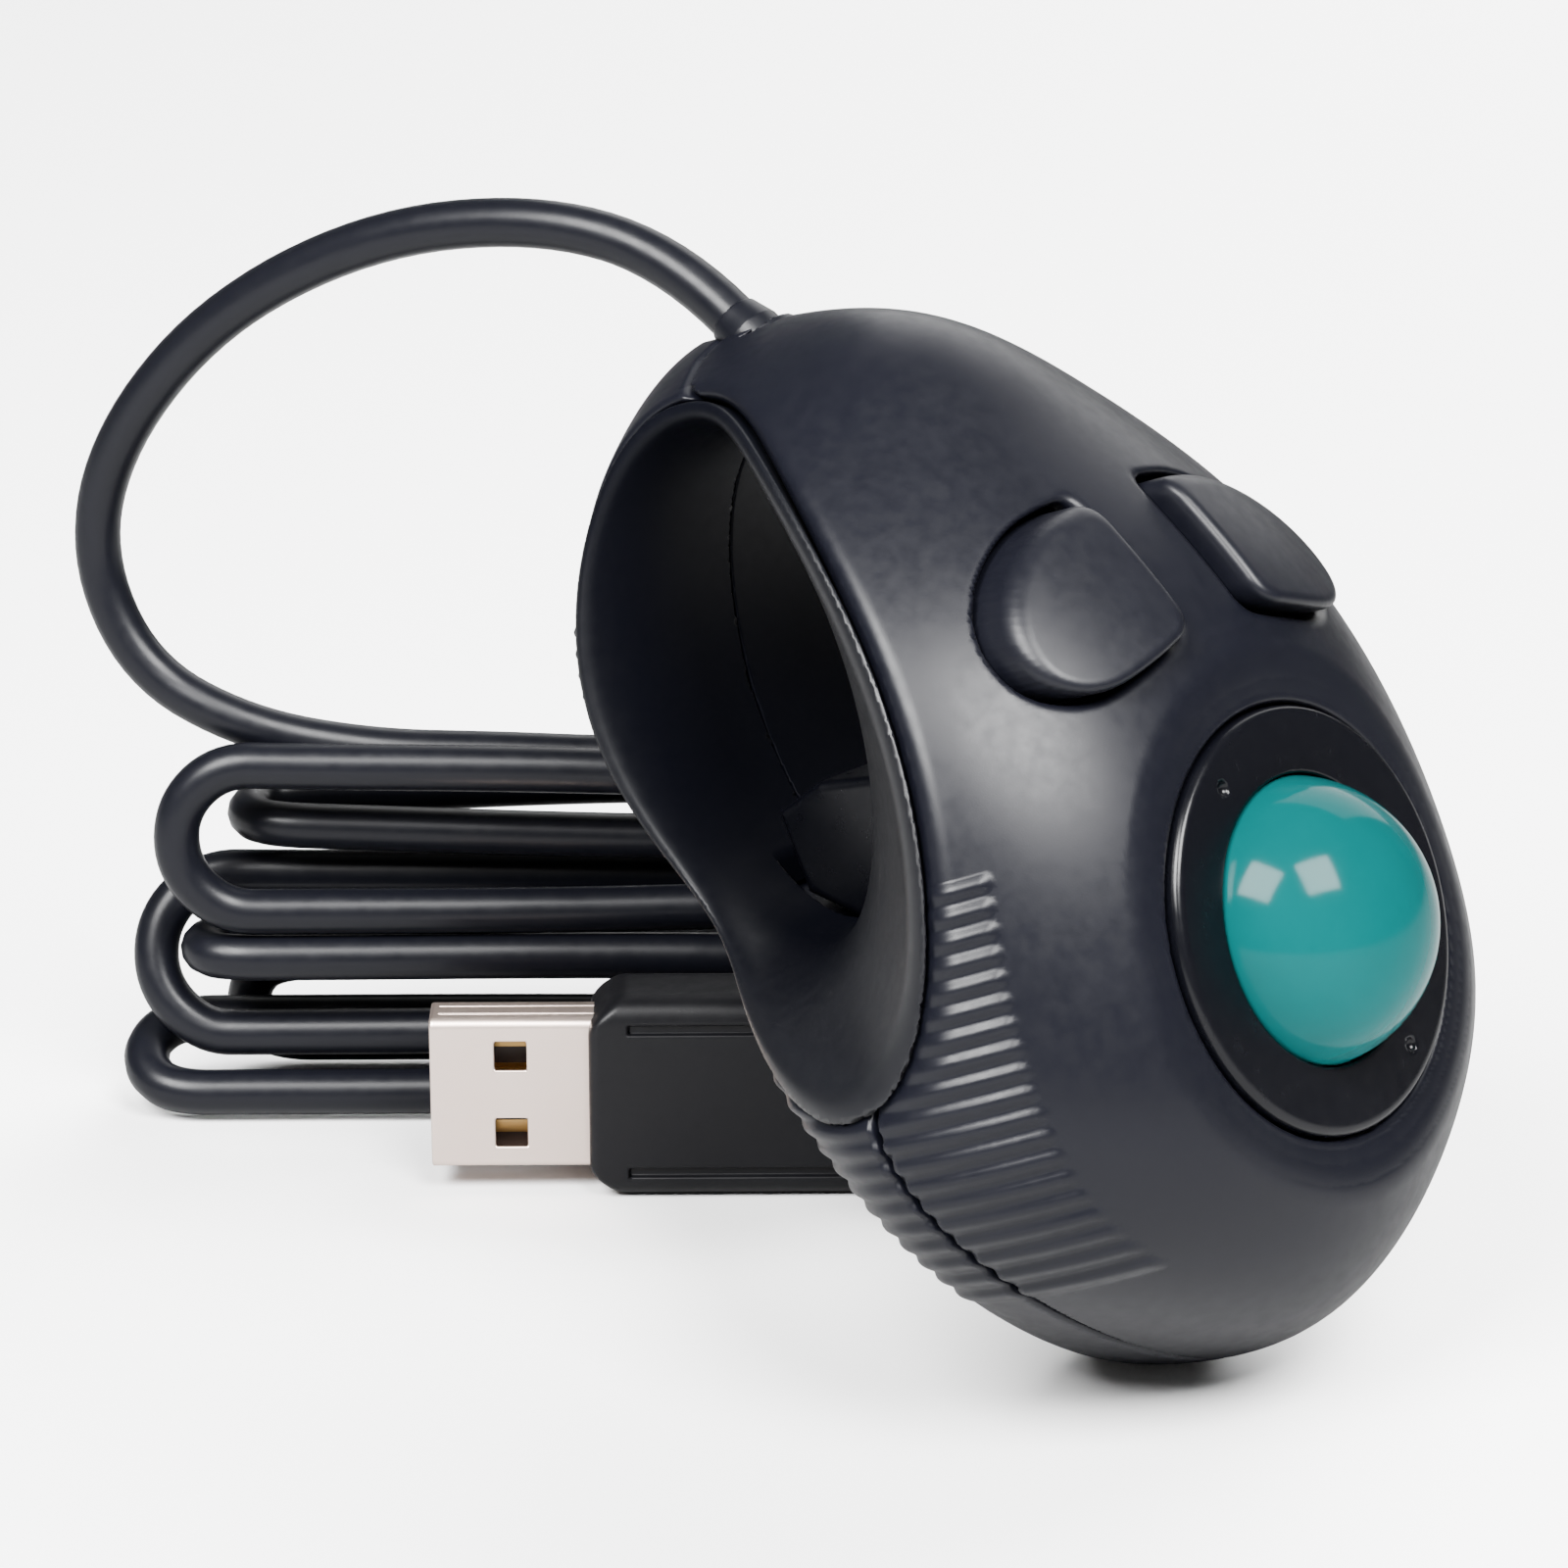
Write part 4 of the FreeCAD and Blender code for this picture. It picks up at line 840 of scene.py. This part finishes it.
# ------------------------------------------------------------ the tie drawn round the folded cable
def tie_band(t0, t1, gap, thick):
    """A flat band round the strands: the hull of their circles, with softened edges."""
    mids = [(at(i, -30.2)[0] + bn * 0.9, max(at(i, -30.2)[1] + bz * 0.9, 1.95)) for i, (bn, bz) in enumerate(BOW)]
    ang = np.linspace(0, 2 * math.pi, 72, endpoint=False)
    pick = []
    for a in ang:
        d = [n * math.cos(a) + z * math.sin(a) for n, z in mids]
        pick.append(int(np.argmax(d)))
    ring, dirs = [], []
    for i, a in enumerate(ang):
        ring.append(mids[pick[i]])
        dirs.append((math.cos(a), math.sin(a)))
        nx = pick[(i + 1) % len(ang)]
        if nx != pick[i]:
            a2 = ang[i] + math.pi / 72
            for m in (pick[i], nx):
                ring.append(mids[m])
                dirs.append((math.cos(a2), math.sin(a2)))
    ring, dirs = np.array(ring), np.array(dirs)
    r0, r1, e = CABLE_R + gap, CABLE_R + gap + thick, 0.16
    prof = [(t0 + e, r0), (t0, r0 + e), (t0, r1 - e), (t0 + e, r1), (t1 - e, r1), (t1, r1 - e), (t1, r0 + e), (t1 - e, r0)]
    V, Q, n, k = [], [], len(ring), len(prof)
    for t, r in prof:
        for c, d in zip(ring, dirs):
            q = c + d * r
            V.append((t, -q[0], max(q[1], 0.02 + (r1 - r) * 0.3)))
    for a in range(k):
        for b in range(n):
            i0, i1 = a * n + b, a * n + (b + 1) % n
            j0, j1 = ((a + 1) % k) * n + b, ((a + 1) % k) * n + (b + 1) % n
            Q.append((i0, j0, j1, i1))
    P = np.array(V) @ TAB + np.array([ORG[0], ORG[1], 0.0])
    ob = make("cable_tie_band", P, np.array(Q), M["tie"], None, local=False)
    b = bmesh.new()
    b.from_mesh(ob.data)
    bmesh.ops.recalc_face_normals(b, faces=b.faces)
    b.to_mesh(ob.data)
    b.free()
    for pl in ob.data.polygons:
        pl.use_smooth = False
    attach(ob, "housing")
    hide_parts("hank_tie")
    return ob


tie = tie_band(-31.9, -28.6, 0.08, 0.8)

# ------------------------------------------------------------ floor, light
def floor_mat(name, shade):
    m, nt, p = new_mat(name)
    v = coords(nt)
    n = noise(nt, v, 3.0, 2.0)
    link(nt, mix(nt, n, (shade - 0.01,) * 3, (shade + 0.01,) * 3), p.inputs["Base Color"])
    p.inputs["Roughness"].default_value = 0.7
    return m


bm = bmesh.new()
prof = [(-3.0, 0.0)] + [(1.4 + 0.8 * math.sin(a), 0.8 - 0.8 * math.cos(a)) for a in np.linspace(0, math.pi / 2, 13)] + [(2.2, 3.0)]
bk = Vector((-BACK[0], -BACK[1], 0)).normalized()
sd = Vector((bk.y, -bk.x, 0))
rows = []
for d, z in prof:
    rows.append([bm.verts.new(bk * d + sd * x + Vector((0, 0, z))) for x in (-3.5, 0, 3.5)])
for a, b in zip(rows, rows[1:]):
    for i in range(2):
        bm.faces.new((a[i], a[i + 1], b[i + 1], b[i]))
me = bpy.data.meshes.new("floor")
bm.to_mesh(me)
bm.free()
for pl in me.polygons:
    pl.use_smooth = True
me.materials.append(floor_mat("floor_white", 0.94))
floor = bpy.data.objects.new("floor", me)
SCN.collection.objects.link(floor)
floor.visible_glossy = False
# the same sweep, dimmer, is what the glossy surfaces mirror
me2 = me.copy()
me2.name = "floor_mirrored"
me2.materials.clear()
me2.materials.append(floor_mat("floor_grey", 0.34))
floor2 = bpy.data.objects.new("floor_mirrored", me2)
floor2.location.z = 0.0001
SCN.collection.objects.link(floor2)
floor2.visible_camera = floor2.visible_diffuse = floor2.visible_shadow = False
floor_only = bpy.data.collections.new("floor_only")
floor_only.objects.link(floor)

world = bpy.data.worlds.new("studio")
SCN.world = world
world.use_nodes = True
world.node_tree.nodes["Background"].inputs["Color"].default_value = (1, 1, 1, 1)
world.node_tree.nodes["Background"].inputs["Strength"].default_value = 0.16


def lamp(name, direction, dist, size, power, target=(0.014, 0, 0.037), size_y=None, spin=0.0, color=(1, 1, 1)):
    d = bpy.data.lights.new(name, "AREA")
    d.shape = "RECTANGLE"
    d.size, d.size_y = size, size_y or size
    d.energy = power
    d.color = color
    o = bpy.data.objects.new(name, d)
    dv = Vector(direction).normalized()
    o.location = Vector(target) + dv * dist
    q = dv.to_track_quat("Z", "Y")
    o.rotation_mode = "QUATERNION"
    o.rotation_quaternion = q @ Matrix.Rotation(spin, 3, "Z").to_quaternion()
    SCN.collection.objects.link(o)
    return o


lamp("softbox_front", (-0.02, -0.68, 0.74), 0.80, 0.37, 24.0)
lamp("softbox_right", (0.53, -0.21, 0.82), 0.80, 0.37, 24.0)
lamp("fill_back", (-0.35, 0.75, 0.55), 1.1, 0.8, 5.0)
wash = lamp("floor_wash", (-0.10, 0.70, 0.70), 1.30, 1.20, 110.0, target=(0.0, 0.25, 0.0))
wash.light_linking.receiver_collection = floor_only
